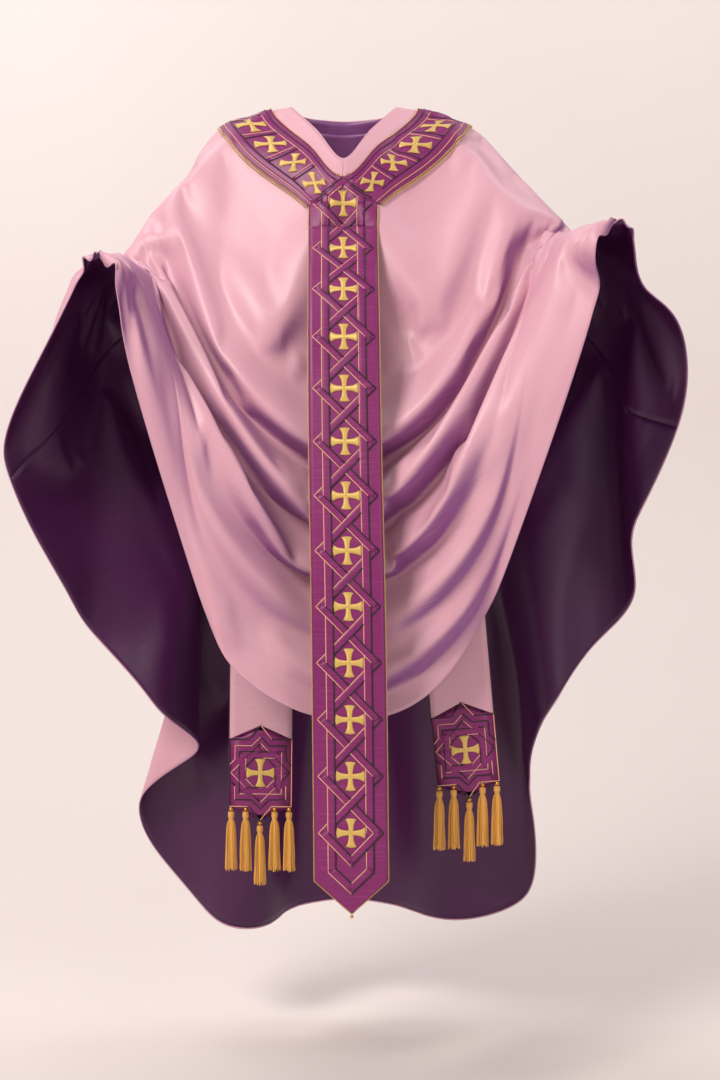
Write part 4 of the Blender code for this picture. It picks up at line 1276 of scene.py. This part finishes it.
def stolePlace(name, height):
    top, bottom = (Vector(p) for p in stoleLook["ends"][name])
    down = (bottom - top).normalized()
    across = Vector((0, 1, 0)).cross(down).normalized()
    across = across if across.x > 0 else -across
    outward = across.cross(-down).normalized()
    outward = outward if outward.y < 0 else -outward
    a, d, o = (np.array(v) for v in (across, down, outward))

    def place(x, y):
        points = np.array(top) + y[:, None] * d + x[:, None] * a + height * o
        return points, np.broadcast_to(o, points.shape)
    return place, (bottom - top).length


def starPath(length):
    half, notch, point = stoleLook["half"], stoleLook["starNotch"], stoleLook["starPoint"]
    high, low = length - stoleLook["starHeight"], length
    return [(-half, high), (-notch, high), (0, high - point), (notch, high), (half, high),
            (half, low), (notch, low), (0, low + point), (-notch, low), (-half, low)]


def makeStar(name, length, body, blendOver):
    place, _ = stolePlace(name, 0.0031)
    outline = starPath(length)
    star = bmesh.new()
    verts = [star.verts.new((x, y, 0)) for x, y in outline]
    star.faces.new(verts)
    bmesh.ops.triangulate(star, faces=star.faces)
    bmesh.ops.subdivide_edges(star, edges=star.edges, cuts=3, use_grid_fill=True)
    bmesh.ops.recalc_face_normals(star, faces=star.faces)
    data = bpy.data.meshes.new("star")
    star.to_mesh(data)
    star.free()
    if data.polygons[0].normal.z < 0:
        data.flip_normals()
    layOn(data, place)
    title = name.title()
    piece = addPiece(f"starPanel{title}", data, purpleSilk, body, [f"star_panel_{name}"], 0.0006, sharp=0)
    centre = length - stoleLook["starHeight"] / 2
    light, black, straps = [], [], []

    def put(shade, *points):
        shade.append([(x, y, 0.0003) for x, y in points])

    edge = outline
    put(black, edge[0], edge[1], edge[2])
    put(light, edge[2], edge[3])
    put(black, edge[3], edge[4])
    put(light, edge[4], edge[5], edge[6], edge[7])
    put(black, edge[7], edge[8])
    put(light, edge[8], edge[9])
    put(black, edge[9], edge[0])

    def c(x, y):
        return (x, centre + y)

    # second star, one strap's width inside the outline, cut off at the panel's sides
    put(light, c(-0.0495, -0.012), c(-0.0405, -0.021), c(-0.0405, -0.043), c(-0.0140, -0.043), c(0, -0.057))
    put(black, c(0, -0.057), c(0.0140, -0.043), c(0.0405, -0.043))
    put(black, c(0.0405, -0.043), c(0.0405, -0.021), c(0.0495, -0.012))
    put(light, c(-0.0405, 0.021), c(-0.0405, 0.043))
    put(black, c(-0.0495, 0.012), c(-0.0405, 0.021))
    put(black, c(-0.0405, 0.043), c(-0.0140, 0.043), c(0, 0.057), c(0.0140, 0.043), c(0.0405, 0.043))
    put(light, c(0.0405, 0.043), c(0.0405, 0.021))
    # the interlaced square and diamond
    outer, inner = 0.0335, 0.0235
    tipOuter, tipInner = 0.0470, 0.0330
    for turn in range(4):
        spin = Matrix.Rotation(turn * math.pi / 2, 2)

        def s(x, y, spin=spin):
            spot = spin @ Vector((x, y))
            return c(spot.x, spot.y)

        bright = light if turn in (1, 2) else black
        soft = black if turn in (1, 2) else light
        put(bright, s(-outer, -outer), s(tipOuter - outer - 0.0005, -outer))  # over at this end
        put(bright, s(tipOuter - inner + 0.001, -outer), s(outer, -outer))
        put(soft, s(-tipInner + inner + 0.014, -inner), s(inner - 0.0005, -inner))
        put(soft, s(0, -tipOuter), s(tipOuter - outer, -outer))
        put(bright, s(0.0095, -tipInner + 0.0095), s(inner, -tipInner + inner))
        put(bright, s(tipOuter - inner, -inner), s(tipOuter, 0))
    for turn in range(4):
        spin = Matrix.Rotation(turn * math.pi / 2, 2)
        middle, tip = (outer + inner) / 2, (tipOuter + tipInner) / 2
        ends = [spin @ Vector(p) for p in ((-middle, -middle), (middle, -middle))]
        straps.append(strip(c(*ends[0]), c(*ends[1]), 0.0046, lambda t: 0.0001 + 0.0003 * (t < 0.5), cells=12))
        ends = [spin @ Vector(p) for p in ((0, -tip), (tip, 0))]
        straps.append(strip(c(*ends[0]), c(*ends[1]), 0.0046, lambda t: 0.0001 + 0.0003 * (t > 0.5), cells=12))
    face, _ = stolePlace(name, 0.0037)
    addPiece(f"starStraps{title}", layOn(joined("straps", straps), face), purpleSilk, body, (), 0.0003,
             sharp=0)
    linesOn(f"starPinkLines{title}", light, face, orphreyLook["lineRadius"], pinkGoldThread, body)
    linesOn(f"starBlackLines{title}", black, face, orphreyLook["blackRadius"], blackThread, body)
    crossesOn(f"starCross{title}", [(*c(0, 0), 0)], 0.0225, face, 0.0004, body, [f"star_cross_{name}"])


def spunMesh(name, outline, steps, centre):
    work = bmesh.new()
    verts = [work.verts.new(centre + Vector((radius, 0, -depth))) for radius, depth in outline]
    edges = [work.edges.new(pair) for pair in zip(verts, verts[1:])]
    bmesh.ops.spin(work, geom=verts + edges, cent=centre, axis=(0, 0, 1), angle=math.tau, steps=steps, use_merge=True)
    bmesh.ops.remove_doubles(work, verts=work.verts, dist=1e-6)
    bmesh.ops.recalc_face_normals(work, faces=work.faces)
    data = bpy.data.meshes.new(name)
    work.to_mesh(data)
    work.free()
    return data


def makeTassel(name, number, edge, draw):
    body = f"hanging_tassel_{name}_{number}"
    title = f"{name.title()}{number}"
    bead = bmesh.new()
    bmesh.ops.create_uvsphere(bead, u_segments=20, v_segments=14, radius=stoleLook["beadRadius"],
                              matrix=Matrix.Translation(edge - Vector((0, 0, stoleLook["beadDrop"]))))
    data = bpy.data.meshes.new("bead")
    bead.to_mesh(data)
    bead.free()
    addPiece(f"tasselBead{title}", data, gilt, body, [f"tassel_bead_{name}_{number}"], sharp=0)
    # a wound head, a bound neck, and a skirt of loose strands over a solid core
    head = [(0.0, 0.0080), (0.0030, 0.0082)]
    for i in range(9):
        depth = 0.0086 + 0.00135 * i
        radius = 0.0050 - 0.00006 * (i - 3) ** 2
        head += [(radius, depth), (radius + 0.00035, depth + 0.0005), (radius, depth + 0.001)]
    head += [(0.0040, 0.0212), (0.0043, 0.0222), (0.0040, 0.0232), (0.0052, 0.0262), (0.0060, 0.034), (0.0068, 0.062),
             (0.0070, 0.092), (0.0, 0.094)]
    core = spunMesh("core", head, 24, edge)
    addRun(core, coordinates(core)[:, 2])
    strands = []
    for i in range(stoleLook["strands"]):
        turn = i * 2.39996 + draw.uniform(-0.2, 0.2)
        inner = (i % 3) / 3
        lean, wave, phase = draw.uniform(-0.22, 0.22), draw.uniform(0.0002, 0.0011), draw.uniform(0, math.tau)
        length = 0.1025 - draw.uniform(0, 0.006)
        path = []
        for depth, radius in ((0.0225, 0.0039), (0.027, 0.0056), (0.034, 0.0068), (0.048, 0.0076), (0.062, 0.0080),
                              (0.076, 0.0083), (0.090, 0.0087), (length, 0.0090)):
            share = (depth - 0.0225) / 0.08
            out = radius * (1 - 0.18 * inner) + wave * math.sin(phase + 7 * share) * share
            angle = turn + lean * share
            path.append((edge.x + out * math.cos(angle), edge.y + out * math.sin(angle), edge.z - depth))
        strands.append(path)
    skirt = cordMesh("strands", strands, 0.00062, 0)
    spots = coordinates(skirt)
    addRun(skirt, np.arctan2(spots[:, 1] - edge.y, spots[:, 0] - edge.x) * 0.0009)
    addPiece(f"tassel{title}", joined("tassel", [core, skirt]), tasselSilk, body, [f"tassel_{name}_{number}"],
             sharp=60)


def makeStoleEnd(name, draw):
    body = f"stole_end_{name}"
    top = Vector(stoleLook["ends"][name][0])
    blendOver = (tuple(top + Vector((0, 0, 0.001))), tuple(top + Vector((0, 0, -0.08))))
    title = name.title()
    layers = (("lining", 0.0, purpleLining, "purple_lining", 0.0006), ("interlining", 0.0009, canvasCloth, "canvas", 0.0010),
              ("silk", 0.0022, roseSilk, "rose_silk", 0.0006))
    for layer, height, material, slot, thickness in layers:
        place, length = stolePlace(name, height)
        mesh = flatGrid(f"stole{layer.title()}{title}", 10, 60)
        wide = stoleLook["half"] - (0.0008 if layer == "interlining" else 0.0)
        reshape(mesh, lambda co: np.column_stack([(co[:, 0] * 2 - 1) * wide, co[:, 1] * length, 0 * co[:, 0]]))
        layOn(mesh, place)
        paintShotAndShade(mesh)
        piece = addPiece(mesh.name, mesh, material, body, [f"stole_{layer}_{name}"], thickness, blendOver, sharp=0)
    place, length = stolePlace(name, 0.0014)
    high = length - stoleLook["starHeight"]
    binding = []
    for side in (-1, 1):
        x = side * (stoleLook["half"] + 0.0006)
        binding.append([(x, 0.002, 0), (x, high, 0)])
    mesh = cordMesh("binding", [stepped(line, 0.02) for line in binding], 0.0010, 1)
    addRun(mesh, coordinates(mesh)[:, 1])
    layOn(mesh, place)
    addPiece(f"stoleEdgeCord{title}", mesh, blackThread, body, (), 0, blendOver, sharp=0)
    makeStar(name, length, body, blendOver)
    face, _ = stolePlace(name, 0.0034)
    for number, x in enumerate(stoleLook["tassels"], start=1):
        below = length if x else length + stoleLook["starPoint"]
        point, _ = face(np.array([x]), np.array([below]))
        makeTassel(name, number, Vector(point[0]), draw)


stoleNeck()
draw = random.Random(7)
for name in ("left", "right"):
    makeStoleEnd(name, draw)
print("stole is made")
